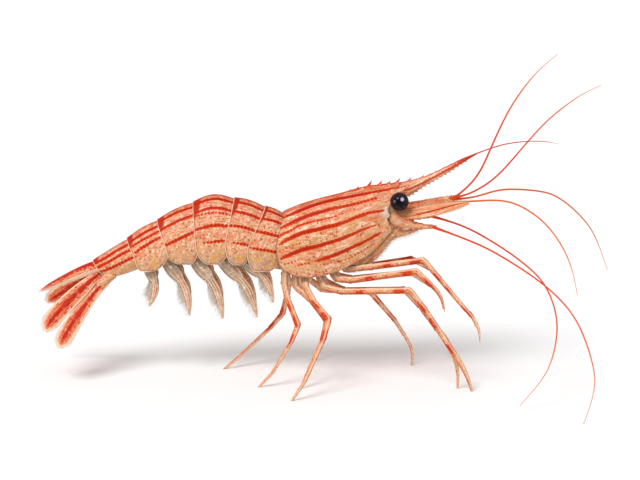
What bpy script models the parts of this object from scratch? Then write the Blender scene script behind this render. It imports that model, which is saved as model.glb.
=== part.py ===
"""A striped deep-water shrimp, standing on its walking legs, as a still museum model.

The animal is laid out in millimetres: X runs forward from the rear edge of the carapace,
Y to the animal's left and Z up from the floor. The last step moves the origin to the
middle of the model's footprint.
"""

import math
from collections import namedtuple

import bmesh
import bpy
from mathutils import Vector

MM = 0.001
GAP = 0.35              # clearance between neighbouring pieces
FLOOR = 0.0
LEFT, RIGHT = 1, -1     # sign of Y on each side
SIDES = {"right": RIGHT, "left": LEFT}

# Shell plates. An edge line is one edge of a plate in side view: the mid-back, the flank
# where it is widest, and the lower edge, then its half width and the height of the belly.
Line = namedtuple("Line", "back_x back_z flank_x flank_z edge_x edge_z half_width belly")
CARAPACE = (
    Line(1.1, 46.6, -0.9, 39.0, 1.4, 31.9, 6.9, 34.4),
    Line(5.6, 48.5, 4.0, 40.0, 4.6, 30.1, 7.6, 34.2),
    Line(10.6, 50.1, 9.5, 41.2, 9.6, 29.8, 7.9, 34.4),
    Line(15.6, 51.4, 15.0, 42.6, 14.8, 31.0, 7.7, 35.4),
    Line(20.6, 52.5, 20.3, 44.2, 20.3, 33.4, 7.2, 37.6),
    Line(25.6, 53.6, 25.8, 45.9, 26.0, 36.9, 6.3, 40.8),
    Line(29.1, 54.3, 30.1, 47.0, 31.4, 42.7, 5.2, 44.9),
)
CARAPACE_STEPS = 12
# Hinges between the plates of the abdomen, and each plate's lobe as the place of its front
# and rear ends and its height.
Hinge = namedtuple("Hinge", "back_x back_z flank_x flank_z half_width belly")
HINGES = (
    Hinge(1.1, 46.6, -0.9, 39.0, 6.7, 33.6),
    Hinge(-4.1, 48.5, -9.1, 37.8, 7.1, 34.0),
    Hinge(-12.7, 50.9, -15.2, 39.6, 6.9, 34.5),
    Hinge(-24.2, 49.7, -23.4, 39.4, 6.3, 34.6),
    Hinge(-34.3, 44.6, -31.7, 37.8, 5.3, 33.6),
    Hinge(-42.9, 39.3, -40.3, 33.8, 4.1, 32.0),
)
LOBES = ((-3.3, -6.6, 31.1), (-10.9, -12.6, 33.0), (-17.8, -19.5, 33.0), (-25.7, -27.6, 32.8),
         (-36.6, -38.6, 30.6))
HUMPS = (0.3, 0.6, 1.6, 0.6, 0.5)       # how far each plate's back bows up between its hinges
SOMITE_STEPS = 4
HINGE_GAP = 0.42        # between two plates, along the body
STEP_IN = 0.3           # a plate's front edge is this much smaller than the rear edge before it
# The last somite has no lobes: its back and underside as (x, z), and its half width.
LAST_SOMITE = (((-43.3, 38.8), (-40.7, 30.1), 3.8), ((-48.0, 35.9), (-44.4, 28.6), 3.5),
               ((-52.6, 32.7), (-48.3, 28.0), 2.6))
RING_SIDES = {"somite": 14, "block": 10, "blade": 8, "whip": 8, "branch": 6}
FINE_STEPS = 200        # for finding the carapace's line at a given place
WALL = 0.9              # thickness of a plate's free edge
TUCK = 0.15             # how far a plate's lower edge turns in, as a share of its half width
UPPER, LOWER = 5, 4     # faces from the back to the flank, and from the flank to the edge

# Rostrum: (x, upper edge z, lower edge z, half thickness), then the thin whip at its tip.
ROSTRUM = ((19.0, 52.75, 52.6, 0.3), (24.0, 53.9, 53.65, 0.5), (29.4, 55.0, 54.8, 0.8),
           (30.1, 55.0, 50.9, 1.1), (32.5, 55.1, 50.6, 1.2), (36.0, 55.6, 51.3, 1.1),
           (41.3, 57.2, 54.4, 0.9), (46.0, 59.5, 57.4, 0.8), (51.0, 61.8, 60.4, 0.6),
           (56.0, 63.7, 63.0, 0.4), (60.4, 64.9, 64.4, 0.3))
WHIP = ((60.4, 64.65), (65.0, 66.3), (71.5, 66.9), (78.2, 65.9))
WHIP_WIDTH = 0.5
UPPER_TEETH = ((21.8, 0.7), (25.6, 1.4), (28.8, 1.2), (31.0, 0.7), (33.8, 1.5), (36.9, 1.1), (40.6, 0.9),
               (44.3, 0.7), (47.4, 0.6), (50.4, 0.5), (53.2, 0.4))    # tip x, height
TOOTH_BASE = 1.0        # a tooth is this much longer than it is high
TOOTH_LEAN = 0.8        # its tip leans this far forward of the section that carries it
TOOTH_FOOT = (0.35, 0.45)   # behind the tip: the section and the edge where its front face ends
LOWER_TOOTH = 0.5       # the teeth below are all this high
LOWER_TEETH_FROM = 38.0
RIM_WIDTH, RIM_DEPTH = 0.5, 0.22    # where the blade's sides turn in, as shares of its section
WHIP_STEPS = 9

# Underside: (x, half width) along the sternum and along the mouthparts.
STERNUM = ((0.1, 3.4), (1.2, 4.5), (6.0, 4.7), (11.0, 4.7), (15.5, 4.4), (18.6, 3.4))
STERNUM_LOWEST, STERNUM_RISE = 30.1, 0.5
MOUTHPARTS = ((21.0, 1.6), (22.5, 3.0), (26.0, 3.6), (28.8, 3.3), (30.2, 2.4))
MOUTH_DROP = 2.8        # the mouthparts hang this far below the carapace's edge

# Head. Its front plate, in rows of (x, half width, lower z, upper z), carries the feelers.
HEAD_FRONT = ((30.6, 2.6, 43.3, 48.4), (31.2, 3.4, 43.0, 48.9), (32.0, 3.2, 43.2, 48.9),
              (32.4, 2.4, 43.8, 48.4))
EYE_CENTRE, EYE_RADIUS = (33.1, 6.5, 51.2), 2.6
EYESTALK = ((31.2, 1.9, 50.8, 2.4), (31.5, 3.9, 51.0, 2.8))
ANTENNULE = ((32.8, 2.0, 47.5, 2.4), (36.5, 1.9, 48.2, 2.4), (42.5, 1.8, 49.2, 2.0), (47.8, 1.8, 50.2, 1.8))
ANTENNA = ((32.8, 3.9, 44.6, 2.8), (34.8, 5.0, 44.0, 2.9), (38.5, 6.0, 43.9, 1.9), (42.7, 6.5, 44.2, 1.4))
SCALE = ((33.2, 4.9, 46.7, 1.8, 0.9), (36.5, 5.7, 47.5, 3.8, 0.9), (42.0, 6.2, 48.7, 4.4, 0.8),
         (47.5, 6.5, 50.0, 3.4, 0.7), (52.3, 6.7, 51.0, 0.9, 0.5))
SCALE_ACROSS = (0.0, 0.85, -0.52)
PALP = ((28.0, 2.0, 40.6, 1.8), (33.4, 3.2, 41.5, 1.5), (38.2, 4.3, 42.7, 0.5))

# Feelers: routes of the whips, chosen by hand. The first four grow from the antennules.
FEELER_WIDTHS = (0.8, 0.5)
FEELER_STEPS = 24
FEELERS = {
    "antennule_upper_right": (
        (48.5, -1.6, 50.9), (52.4, -3.3, 55.0), (55.6, -4.5, 59.8), (58.6, -6.0, 67.5),
        (62.0, -8.0, 75.9), (65.5, -9.2, 82.2), (69.9, -10.8, 88.3), (75.0, -12.0, 93.1)),
    "antennule_upper_left": (
        (48.5, 1.5, 50.9), (53.0, 2.2, 51.5), (60.6, 4.0, 56.0), (69.9, 8.0, 65.6),
        (74.8, 10.0, 70.5), (80.2, 12.0, 74.6), (85.1, 13.5, 77.7), (90.4, 15.0, 79.9)),
    "antennule_lower_right": (
        (48.6, -2.2, 49.8), (54.5, -3.4, 50.7), (61.8, -6.0, 51.4), (67.2, -9.0, 50.1),
        (72.7, -12.0, 46.5), (77.2, -15.0, 40.9), (80.0, -17.0, 34.6), (81.4, -19.0, 27.9)),
    "antennule_lower_left": (
        (48.6, 2.2, 49.7), (54.3, 3.0, 50.3), (62.7, 5.0, 52.1), (74.4, 10.0, 50.3),
        (80.1, 13.0, 47.3), (86.0, 16.0, 41.8), (90.4, 18.0, 35.7), (94.9, 21.0, 24.6)),
    "antenna_right": (
        (43.3, -6.7, 44.1), (50.4, -11.0, 42.0), (59.0, -18.0, 39.5), (71.4, -30.0, 33.5),
        (79.1, -38.0, 26.0), (83.1, -45.5, 14.7), (82.5, -48.5, 8.3), (80.0, -51.0, 1.8)),
    "antenna_left": (
        (43.3, 6.3, 44.2), (50.6, 4.4, 42.0), (57.7, 1.0, 39.1), (67.1, -4.0, 33.7),
        (73.5, -11.0, 28.3), (75.9, -21.0, 20.1), (72.7, -30.0, 10.1), (64.8, -35.6, 1.8)),
}

TOE_RUN_ON = 0.5        # a toe's tube runs this far past the floor, where it is cut flat

# Legs: (x, y, z, width) from the coxa to the toe, with the knee as the sharp bend. Toes at
# the floor end in small flats.
LEGS = {
    "maxilliped_right": ((18.2, -3.4, 32.1, 2.2), (18.4, -3.9, 31.1, 2.2), (21.0, -4.8, 31.7, 2.0),
                         (26.0, -6.2, 32.6, 2.0), (39.8, -11.0, 35.7, 1.9), (44.2, -13.0, 30.9, 1.4),
                         (53.0, -16.0, 20.9, 1.2), (55.2, -17.0, 14.0, 0.6)),
    "maxilliped_left": ((18.2, 3.4, 32.1, 2.2), (18.4, 3.8, 31.1, 2.2), (21.0, 4.8, 30.3, 2.0),
                        (26.0, 6.0, 29.8, 2.0), (37.4, 9.3, 30.8, 1.9), (42.7, 10.5, 27.7, 1.4),
                        (53.3, 13.0, 14.6, 1.2), (56.0, 13.0, 9.6, 0.6)),
    "pereiopod_1_right": ((14.6, -3.0, 31.1, 2.6), (14.7, -3.3, 30.0, 2.6), (16.0, -5.0, 28.7, 2.1),
                          (20.0, -7.0, 28.9, 2.0), (37.7, -14.0, 33.3, 2.0), (41.6, -15.0, 29.8, 1.4),
                          (45.5, -15.0, 22.0, 0.7)),
    "pereiopod_1_left": ((14.6, 3.0, 31.1, 2.6), (14.7, 3.3, 30.0, 2.6), (16.0, 4.8, 27.2, 2.1),
                         (20.3, 6.6, 25.7, 2.0), (37.6, 11.5, 26.2, 2.0), (43.1, 12.5, 22.2, 1.4),
                         (46.7, 12.5, 15.0, 0.7)),
    "pereiopod_2_right": ((10.8, -3.0, 30.2, 2.6), (10.9, -3.3, 29.2, 2.6), (12.4, -5.3, 26.4, 2.2),
                          (17.6, -8.0, 25.9, 2.0), (35.8, -16.2, 28.5, 2.0), (40.1, -17.0, 23.1, 1.7),
                          (48.2, -17.2, 10.6, 1.8), (51.4, -17.6, 4.6, 1.1), (53.3, -17.6, 0.0, 0.7)),
    "pereiopod_2_left": ((10.8, 3.0, 30.2, 2.6), (10.9, 3.3, 29.2, 2.6), (12.6, 5.6, 25.2, 2.2),
                         (18.3, 8.6, 21.7, 2.0), (35.6, 11.4, 21.1, 2.0), (40.0, 12.0, 16.1, 1.7),
                         (45.2, 12.4, 9.0, 1.8), (48.5, 13.7, 4.0, 1.1), (50.2, 14.4, 0.0, 0.7)),
    "pereiopod_3_right": ((7.0, -2.9, 30.2, 2.3), (7.0, -3.2, 29.2, 2.3), (7.2, -6.0, 26.8, 2.1),
                          (9.4, -10.2, 23.7, 1.9), (13.6, -17.0, 20.4, 2.0), (12.2, -20.0, 15.6, 1.4),
                          (7.0, -24.5, 4.9, 1.1), (3.2, -26.2, 0.0, 0.7)),
    "pereiopod_3_left": ((7.0, 2.9, 30.2, 2.3), (7.1, 3.1, 29.2, 2.3), (8.4, 3.5, 26.2, 2.1),
                         (12.0, 3.4, 23.4, 2.0), (25.4, 4.9, 22.4, 2.0), (32.6, 6.6, 13.4, 1.4),
                         (35.3, 7.0, 9.0, 1.1), (37.5, 6.4, 0.0, 0.7)),
    "pereiopod_4_right": ((4.2, -2.9, 30.2, 2.3), (4.2, -3.1, 29.2, 2.3), (4.4, -4.1, 26.2, 2.0),
                          (8.7, -6.3, 23.0, 1.9), (13.1, -9.2, 17.9, 1.9), (11.7, -10.5, 12.4, 1.3),
                          (8.0, -13.5, 4.8, 1.0), (5.6, -15.4, 0.0, 0.7)),
    "pereiopod_4_left": ((4.2, 2.9, 30.2, 2.3), (4.2, 3.1, 29.2, 2.3), (5.8, 4.4, 24.8, 2.1),
                         (8.9, 7.2, 19.2, 1.9), (13.2, 11.0, 11.9, 1.9), (12.0, 11.5, 6.6, 1.3),
                         (9.6, 10.6, 0.0, 0.7)),
    "pereiopod_5_right": ((1.4, -2.9, 30.2, 2.3), (1.3, -3.2, 29.2, 2.3), (1.2, -5.0, 27.2, 2.1),
                          (2.2, -7.6, 23.6, 1.9), (5.1, -11.0, 17.0, 1.9), (3.2, -12.0, 12.5, 1.3),
                          (-2.1, -13.3, 3.8, 1.0), (-6.2, -14.0, 0.0, 0.7)),
    "pereiopod_5_left": ((1.4, 2.9, 30.2, 2.3), (1.4, 3.1, 29.2, 2.3), (2.4, 4.2, 25.4, 2.1),
                         (1.7, 5.2, 20.4, 1.9), (0.4, 6.0, 15.4, 1.8), (-3.2, 5.9, 11.2, 1.3),
                         (-11.4, 4.6, 3.6, 1.0), (-16.6, 2.8, 0.0, 0.7)),
}
FINGERS = {
    "pereiopod_2_right": ((47.6, -17.1, 11.4, 1.3), (49.3, -15.9, 4.6, 1.0), (49.4, -14.9, 0.0, 0.7)),
    "pereiopod_2_left": ((44.7, 12.3, 9.7, 1.3), (48.4, 11.8, 4.6, 1.0), (50.6, 11.2, 0.0, 0.7)),
}

# Swimming legs: where each hangs, the outer branch's tip, and its size against the largest.
PLEOPODS = (((-9.2, 32.6), (-1.5, 22.2), 0.85), ((-15.6, 33.0), (-6.0, 17.9), 1.0),
            ((-23.6, 33.3), (-15.6, 17.2), 1.0), ((-31.4, 32.3), (-25.0, 17.9), 0.95),
            ((-37.0, 31.2), (-36.3, 20.2), 0.8))
# Along a swimming leg: share of its length, width and thickness. The base is broad, and
# two tapering branches grow from it.
OUTER_BRANCH = ((0.0, 3.0, 1.4), (0.16, 3.7, 1.5), (0.32, 2.5, 1.2), (0.5, 2.3, 0.8), (0.7, 1.9, 0.7),
                (0.88, 1.2, 0.6), (1.0, 0.5, 0.5))
INNER_BRANCH = ((0.24, 1.2, 0.8), (0.42, 1.8, 0.7), (0.62, 1.4, 0.6), (0.8, 0.5, 0.5))
INNER_BACK = (0.6, 1.4)     # the inner branch's root and tip lie this far behind the outer's
INNER_REACH = 0.95          # and its line is this much as long
INNER_INSET = 0.3           # and starts this far inside it
SPLAY = (1.2, -0.8)         # how far the outer and inner tips stand out from their roots
BRANCH_BOW = 1.3
BRANCH_ACROSS = (1.0, 0.0, 0.3)
LEFT_PLEOPOD_SHIFT = -0.7   # the left legs swing a little further back
LAST_PLEOPOD_HALF = 4.6     # half width of the body over the last pair

# Tail fan: (x, y, z, width, thickness) along each blade, and the direction across it.
TELSON = ((-52.3, 0.0, 31.2, 4.4, 2.3), (-57.0, 0.0, 29.5, 4.4, 2.2), (-62.5, 0.0, 26.7, 3.6, 1.7),
          (-68.3, 0.0, 23.7, 1.3, 0.7))
ENDOPOD = {
    "right": (((-50.9, -1.5, 29.1, 1.8, 1.3), (-54.9, -3.3, 25.9, 4.0, 1.0), (-60.2, -5.7, 21.2, 4.9, 0.8),
               (-63.9, -7.9, 17.2, 3.6, 0.7), (-65.4, -9.1, 14.7, 1.3, 0.5)), (0.72, -0.35, -0.6)),
    "left": (((-50.9, 1.5, 29.1, 1.8, 1.3), (-54.8, 2.9, 27.2, 3.8, 1.0), (-60.4, 5.0, 23.4, 4.6, 0.8),
              (-64.6, 6.9, 20.3, 3.4, 0.7), (-67.0, 8.0, 18.4, 1.3, 0.5)), (0.55, 0.3, -0.78)),
}
EXOPOD = {
    "right": (((-48.9, -2.4, 27.1, 2.6, 1.8), (-52.3, -4.4, 23.7, 3.0, 1.1), (-56.6, -7.3, 18.3, 4.5, 0.9),
               (-59.9, -10.3, 13.3, 4.0, 0.7), (-61.1, -11.9, 10.7, 1.7, 0.5)), (0.74, -0.5, -0.46)),
    "left": (((-48.9, 2.4, 27.1, 2.6, 1.8), (-51.8, 4.4, 24.8, 3.7, 1.3), (-57.0, 7.4, 20.2, 4.5, 0.9),
              (-62.4, 9.8, 15.6, 3.8, 0.7), (-65.0, 10.8, 13.4, 1.5, 0.5)), (0.75, 0.5, -0.45)),
}

# Colour and roughness of each kind of surface.
COLOURS = {
    "shell": ((0.78, 0.32, 0.20), 0.35),
    "leg": ((0.80, 0.45, 0.30), 0.4),
    "feeler": ((0.78, 0.18, 0.08), 0.4),
    "flesh": ((0.66, 0.50, 0.34), 0.5),
    "eye": ((0.01, 0.01, 0.015), 0.1),
}


def material(name):
    """One Principled material for each kind of surface."""
    found = bpy.data.materials.get(name)
    if found:
        return found
    colour, roughness = COLOURS[name]
    made = bpy.data.materials.new(name)
    made.use_nodes = True
    shader = made.node_tree.nodes["Principled BSDF"]
    shader.inputs["Base Color"].default_value = (*colour, 1.0)
    shader.inputs["Roughness"].default_value = roughness
    shader.inputs["Metallic"].default_value = 0.0
    return made


def blend(a, b, t):
    """What lies t of the way from a to b, for numbers or rows of numbers."""
    if isinstance(a, tuple):
        return tuple(blend(one, other, t) for one, other in zip(a, b))
    return a + (b - a) * t


def smooth(rows, t):
    """A smooth curve through evenly spaced rows of numbers, read at t from 0 to 1."""
    last = len(rows) - 1
    step = min(int(t * last), last - 1)
    part = t * last - step
    near = [rows[min(max(step + k, 0), last)] for k in (-1, 0, 1, 2)]
    return tuple(0.5 * (2 * b + (c - a) * part + (2 * a - 5 * b + 4 * c - d) * part ** 2
                        + (3 * b - a - 3 * c + d) * part ** 3)
                 for a, b, c, d in zip(*near))


def keep(name, mesh, finish, group):
    """A named object in the part's collection, or in the cutters' one."""
    mesh.materials.append(material(finish))
    mesh.shade_smooth()
    mesh.set_sharp_from_angle(angle=math.radians(50))
    piece = bpy.data.objects.new(name, mesh)
    group.objects.link(piece)
    return piece


def loft(name, rings, finish, group, caps=None):
    """A closed skin over rings of points. Caps are lists of ring places, or one whole face."""
    work = bmesh.new()
    skin = [[work.verts.new(Vector(point) * MM) for point in ring] for ring in rings]
    count = len(rings[0])
    for ring, following in zip(skin, skin[1:]):
        for k in range(count):
            work.faces.new((ring[k], ring[(k + 1) % count], following[(k + 1) % count], following[k]))
    for ring in (skin[0], skin[-1]):
        for cap in caps or [range(count)]:
            work.faces.new([ring[k % count] for k in cap])
    bmesh.ops.recalc_face_normals(work, faces=work.faces)
    mesh = bpy.data.meshes.new(name)
    work.to_mesh(mesh)
    work.free()
    return keep(name, mesh, finish, group)


def plate_ring(line):
    """One section of a shell plate: round the right side, up under the belly, and back."""
    half = []
    for k in range(UPPER + 1):
        turn = math.radians(90) * k / UPPER
        half.append((blend(line.flank_x, line.back_x, math.cos(turn)), line.half_width * math.sin(turn),
                     blend(line.flank_z, line.back_z, math.cos(turn))))
    below = []
    for k in range(1, LOWER + 1):
        turn = math.radians(90) * k / LOWER
        below.append((blend(line.edge_x, line.flank_x, math.cos(turn)),
                      line.half_width * (1 - TUCK * math.sin(turn) ** 2),
                      blend(line.flank_z, line.edge_z, math.sin(turn))))
    half += below + [(x, y - WALL, z) for x, y, z in reversed(below[1:])]
    half.append((line.flank_x, line.half_width * (1 - TUCK / 2) - WALL, line.belly))
    middle = (line.flank_x, 0.0, line.belly)
    right = [(x, -y, z) for x, y, z in half]
    return right + [middle] + half[:0:-1]


def plate_caps():
    """Faces that close a plate's end: bands across the body, then a strip down each lobe."""
    edge = UPPER + LOWER
    belly = edge + LOWER
    count = 2 * (belly + 1)
    bands = [(0, 1, -1)] + [(k, k + 1, -k - 1, -k) for k in range(1, UPPER)]
    bands.append((UPPER, belly, belly + 1, -belly, -UPPER))
    strips = [(UPPER, UPPER + 1, belly)]
    strips += [(UPPER + k, UPPER + k + 1, belly - k, belly - k + 1) for k in range(1, LOWER)]
    strips += [tuple(-k for k in strip) for strip in strips]
    return [tuple(k % count for k in face) for face in bands + strips]


def carapace(group):
    rings = [plate_ring(Line(*smooth(CARAPACE, k / CARAPACE_STEPS))) for k in range(CARAPACE_STEPS + 1)]
    return loft("carapace", rings, "shell", group, plate_caps())


def somite(number, group):
    """One of the first five plates of the abdomen, between two hinges."""
    ahead, behind = HINGES[number - 1], HINGES[number]
    front_x, rear_x, edge_z = LOBES[number - 1]
    slope = Vector((behind.back_x - ahead.back_x, behind.back_z - ahead.back_z)).normalized()
    front = Line(ahead.back_x + HINGE_GAP * slope.x, ahead.back_z + HINGE_GAP * slope.y - STEP_IN,
                 ahead.flank_x - HINGE_GAP, ahead.flank_z, front_x, edge_z,
                 ahead.half_width - STEP_IN, ahead.belly)
    rear = Line(behind.back_x, behind.back_z, behind.flank_x, behind.flank_z, rear_x, edge_z,
                behind.half_width, behind.belly)
    rings = []
    for k in range(SOMITE_STEPS + 1):
        line = Line(*blend(tuple(front), tuple(rear), k / SOMITE_STEPS))
        hump = HUMPS[number - 1] * math.sin(math.pi * k / SOMITE_STEPS)
        rings.append(plate_ring(line._replace(back_z=line.back_z + hump)))
    return loft(f"abdomen_{number}", rings, "shell", group, plate_caps())


def oval(centre, across, up, width, height, sides):
    """A ring of points on an ellipse."""
    centre, across, up = Vector(centre), Vector(across).normalized(), Vector(up).normalized()
    turns = [math.tau * k / sides for k in range(sides)]
    return [centre + across * (width / 2 * math.cos(turn)) + up * (height / 2 * math.sin(turn))
            for turn in turns]


def last_somite(group):
    rings = []
    for k in range(SOMITE_STEPS + 1):
        flat = smooth([back + under + (half,) for back, under, half in LAST_SOMITE], k / SOMITE_STEPS)
        back, under = Vector((flat[0], 0, flat[1])), Vector((flat[2], 0, flat[3]))
        rings.append(oval((back + under) / 2, (0, 1, 0), back - under, 2 * flat[4], (back - under).length,
                          RING_SIDES["somite"]))
    return loft("abdomen_6", rings, "shell", group)


def block(name, stations, finish, group):
    """A rounded block along X from rows of (x, half width, lower z, upper z)."""
    rings = []
    for x, half_width, lower, upper in stations:
        rings.append(oval((x, 0, (lower + upper) / 2), (0, 1, 0), (0, 0, 1), 2 * half_width,
                          upper - lower, RING_SIDES["block"]))
    return loft(name, rings, finish, group)


def carapace_line(x):
    """The carapace's edge line whose lower edge stands at x."""
    return min((Line(*smooth(CARAPACE, k / FINE_STEPS)) for k in range(FINE_STEPS + 1)),
               key=lambda line: abs(line.edge_x - x))


def underside(group):
    """The sternum between the carapace's free edges, then the mouthparts and the head's front."""
    thorax = []
    for x, half_width in STERNUM:
        line = carapace_line(x)
        thorax.append((x, half_width, max(line.edge_z, STERNUM_LOWEST) + STERNUM_RISE, line.belly - GAP))
    mouth = []
    for x, half_width in MOUTHPARTS:
        line = carapace_line(x)
        mouth.append((x, half_width, line.edge_z - MOUTH_DROP, line.belly - GAP))
    block("thorax_underside", thorax, "flesh", group)
    block("head_front", HEAD_FRONT, "flesh", group)
    return block("mouthparts", mouth, "flesh", group)


def rostrum_section(x):
    """Upper edge, lower edge and half thickness of the rostrum at x."""
    for (start, *low), (end, *high) in zip(ROSTRUM, ROSTRUM[1:]):
        if x <= end:
            return blend(tuple(low), tuple(high), (x - start) / (end - start))
    return tuple(high)


def rostrum(group):
    """The toothed blade from the mid-back out over the eyes, drawn out into a thin whip."""
    # Stations: the place on the blade's side, and the place and height of its edge there.
    stations = [(x, x, 0.0) for x, *rest in ROSTRUM]
    for tip, height in UPPER_TEETH:
        heel = tip - TOOTH_BASE - height
        stations += [(heel, heel, 0.0), (tip - TOOTH_LEAN, tip, height),
                     (tip - TOOTH_FOOT[0], tip - TOOTH_FOOT[1], 0.0)]
    rings = []
    for x, edge_x, height in sorted(stations):
        upper, lower, half = rostrum_section(x)
        under = LOWER_TOOTH if height and x > LOWER_TEETH_FROM else 0.0
        depth = upper - lower
        right = [(edge_x, 0.0, rostrum_section(edge_x)[0] + height),
                 (x, -RIM_WIDTH * half, upper - RIM_DEPTH * depth), (x, -half, (upper + lower) / 2),
                 (x, -RIM_WIDTH * half, lower + RIM_DEPTH * depth), (x + under, 0.0, lower - under)]
        rings.append(right + [(px, -py, pz) for px, py, pz in right[3:0:-1]])
    for k in range(1, WHIP_STEPS + 1):
        x, z = smooth(WHIP, k / WHIP_STEPS)
        back_x, back_z = smooth(WHIP, (k - 0.5) / WHIP_STEPS)
        rings.append(oval((x, 0, z), (back_z - z, 0, x - back_x), (0, -1, 0), WHIP_WIDTH, WHIP_WIDTH,
                          RING_SIDES["whip"]))
    return loft("rostrum", rings, "shell", group)


def tube(name, route, finish, group):
    """A tapering tube along a route of (x, y, z, width), cut flat where it meets the floor."""
    route = [tuple(point) for point in route]
    if route[-1][2] <= FLOOR:
        run_on = (Vector(route[-1][:3]) - Vector(route[-2][:3])).normalized() * TOE_RUN_ON
        route[-1] = (*(Vector(route[-1][:3]) + run_on), route[-1][3])
    curve = bpy.data.curves.new(name, "CURVE")
    curve.dimensions = "3D"
    curve.bevel_depth = MM / 2
    curve.bevel_resolution = 1
    curve.use_fill_caps = True
    spline = curve.splines.new("POLY")
    spline.points.add(len(route) - 1)
    for point, (x, y, z, width) in zip(spline.points, route):
        point.co = (x * MM, y * MM, z * MM, 1.0)
        point.radius = width
    guide = bpy.data.objects.new(name, curve)
    bpy.context.scene.collection.objects.link(guide)
    graph = bpy.context.evaluated_depsgraph_get()
    mesh = bpy.data.meshes.new_from_object(guide.evaluated_get(graph))
    bpy.data.objects.remove(guide)
    work = bmesh.new()
    work.from_mesh(mesh)
    bmesh.ops.remove_doubles(work, verts=work.verts, dist=0.001 * MM)
    if route[-1][2] < FLOOR:
        bmesh.ops.bisect_plane(work, geom=work.verts[:] + work.edges[:] + work.faces[:],
                               plane_co=(0, 0, FLOOR), plane_no=(0, 0, 1), clear_inner=True)
        bmesh.ops.holes_fill(work, edges=[edge for edge in work.edges if edge.is_boundary])
    bmesh.ops.recalc_face_normals(work, faces=work.faces)
    work.to_mesh(mesh)
    work.free()
    return keep(name, mesh, finish, group)


def mirrored(rows, side):
    """Rows that start with x, y, z, laid out on the given side of the body."""
    return [(row[0], side * row[1], *row[2:]) for row in rows]


def blade(name, rows, across, finish, group, sides=RING_SIDES["blade"]):
    """A flat tapering blade along rows of (x, y, z, width, thickness)."""
    places = [Vector(row[:3]) for row in rows]
    rings = []
    for k, (place, row) in enumerate(zip(places, rows)):
        along = (places[min(k + 1, len(rows) - 1)] - places[max(k - 1, 0)]).normalized()
        flat = Vector(across) - along * along.dot(Vector(across))
        rings.append(oval(place, flat, along.cross(flat), row[3], row[4], sides))
    return loft(name, rings, finish, group)


def join(piece, other):
    """Make another shape part of a piece."""
    union = piece.modifiers.new("join", "BOOLEAN")
    union.operation = "UNION"
    union.object = other
    other.hide_render = True
    other.display_type = "WIRE"


def eyes(group):
    """Each eye is a ball on a short stalk under the root of the rostrum."""
    for word, side in SIDES.items():
        x, y, z = EYE_CENTRE
        work = bmesh.new()
        bmesh.ops.create_uvsphere(work, u_segments=16, v_segments=10, radius=EYE_RADIUS * MM)
        bmesh.ops.translate(work, verts=work.verts, vec=Vector((x, side * y, z)) * MM)
        mesh = bpy.data.meshes.new(f"eye_{word}")
        work.to_mesh(mesh)
        work.free()
        keep(f"eye_{word}", mesh, "eye", group)
        tube(f"eyestalk_{word}", mirrored(EYESTALK, side), "leg", group)


def head_limbs(group):
    """The bases of both pairs of feelers, and the broad scale beside them."""
    for word, side in SIDES.items():
        tube(f"antennule_base_{word}", mirrored(ANTENNULE, side), "leg", group)
        tube(f"antenna_base_{word}", mirrored(ANTENNA, side), "leg", group)
        x, y, z = SCALE_ACROSS
        blade(f"antenna_scale_{word}", mirrored(SCALE, side), (x, side * y, z), "leg", group)


def feelers(group):
    """The whips, each in two lengths that meet end to end."""
    for name, route in FEELERS.items():
        places = [smooth(route, k / FEELER_STEPS) for k in range(FEELER_STEPS + 1)]
        rows = [(*place, blend(*FEELER_WIDTHS, k / FEELER_STEPS)) for k, place in enumerate(places)]
        half = FEELER_STEPS // 2
        step = (Vector(places[half + 1]) - Vector(places[half])).normalized() * GAP
        outer = [(*(Vector(places[half]) + step), rows[half][3])] + rows[half + 1:]
        tube(f"{name}_inner_length", rows[:half + 1], "feeler", group)
        tube(f"{name}_outer_length", outer, "feeler", group)


def legs(group, cutters):
    """Jaw feet, claw-bearing legs and walking legs. The second pair ends in two fingers."""
    for name, route in LEGS.items():
        leg = tube(name, route, "leg", group)
        if name in FINGERS:
            join(leg, tube(f"{name}_finger", FINGERS[name], "leg", cutters))


def branch(name, rows, root, tip, y, out, scale, group):
    """One branch of a swimming leg, bowed forward between its root and its tip."""
    root, tip = Vector(root), Vector(tip)
    bow = Vector((root.y - tip.y, tip.x - root.x)).normalized() * BRANCH_BOW
    line = []
    for t, width, thickness in rows:
        x, z = root + (tip - root) * t + bow * math.sin(math.pi * t)
        line.append((x, y + out * t, z, width * scale, thickness))
    return blade(name, line, BRANCH_ACROSS, "flesh", group, RING_SIDES["branch"])


def swimming_legs(group, cutters):
    for number, (root, tip, scale) in enumerate(PLEOPODS, start=1):
        inner_tip = blend(root, tip, INNER_REACH)
        half_width = HINGES[number].half_width if number < len(PLEOPODS) else LAST_PLEOPOD_HALF
        place = half_width * (1 - TUCK) - WALL - GAP - OUTER_BRANCH[1][2] / 2
        for word, side in SIDES.items():
            name = f"pleopod_{number}_{word}"
            shift = LEFT_PLEOPOD_SHIFT if side == LEFT else 0.0
            outer = branch(name, OUTER_BRANCH, root, (tip[0] + shift, tip[1]), side * place,
                           side * SPLAY[0], scale, group)
            inner = branch(f"{name}_inner", INNER_BRANCH, (root[0] - INNER_BACK[0], root[1]),
                           (inner_tip[0] - INNER_BACK[1] + shift, inner_tip[1]),
                           side * (place - INNER_INSET), side * SPLAY[1], scale, cutters)
            join(outer, inner)


def tail_fan(group):
    blade("telson", TELSON, (0, 1, 0), "shell", group)
    for word in SIDES:
        blade(f"uropod_inner_{word}", *ENDOPOD[word], "shell", group)
        blade(f"uropod_outer_{word}", *EXOPOD[word], "shell", group)


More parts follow.
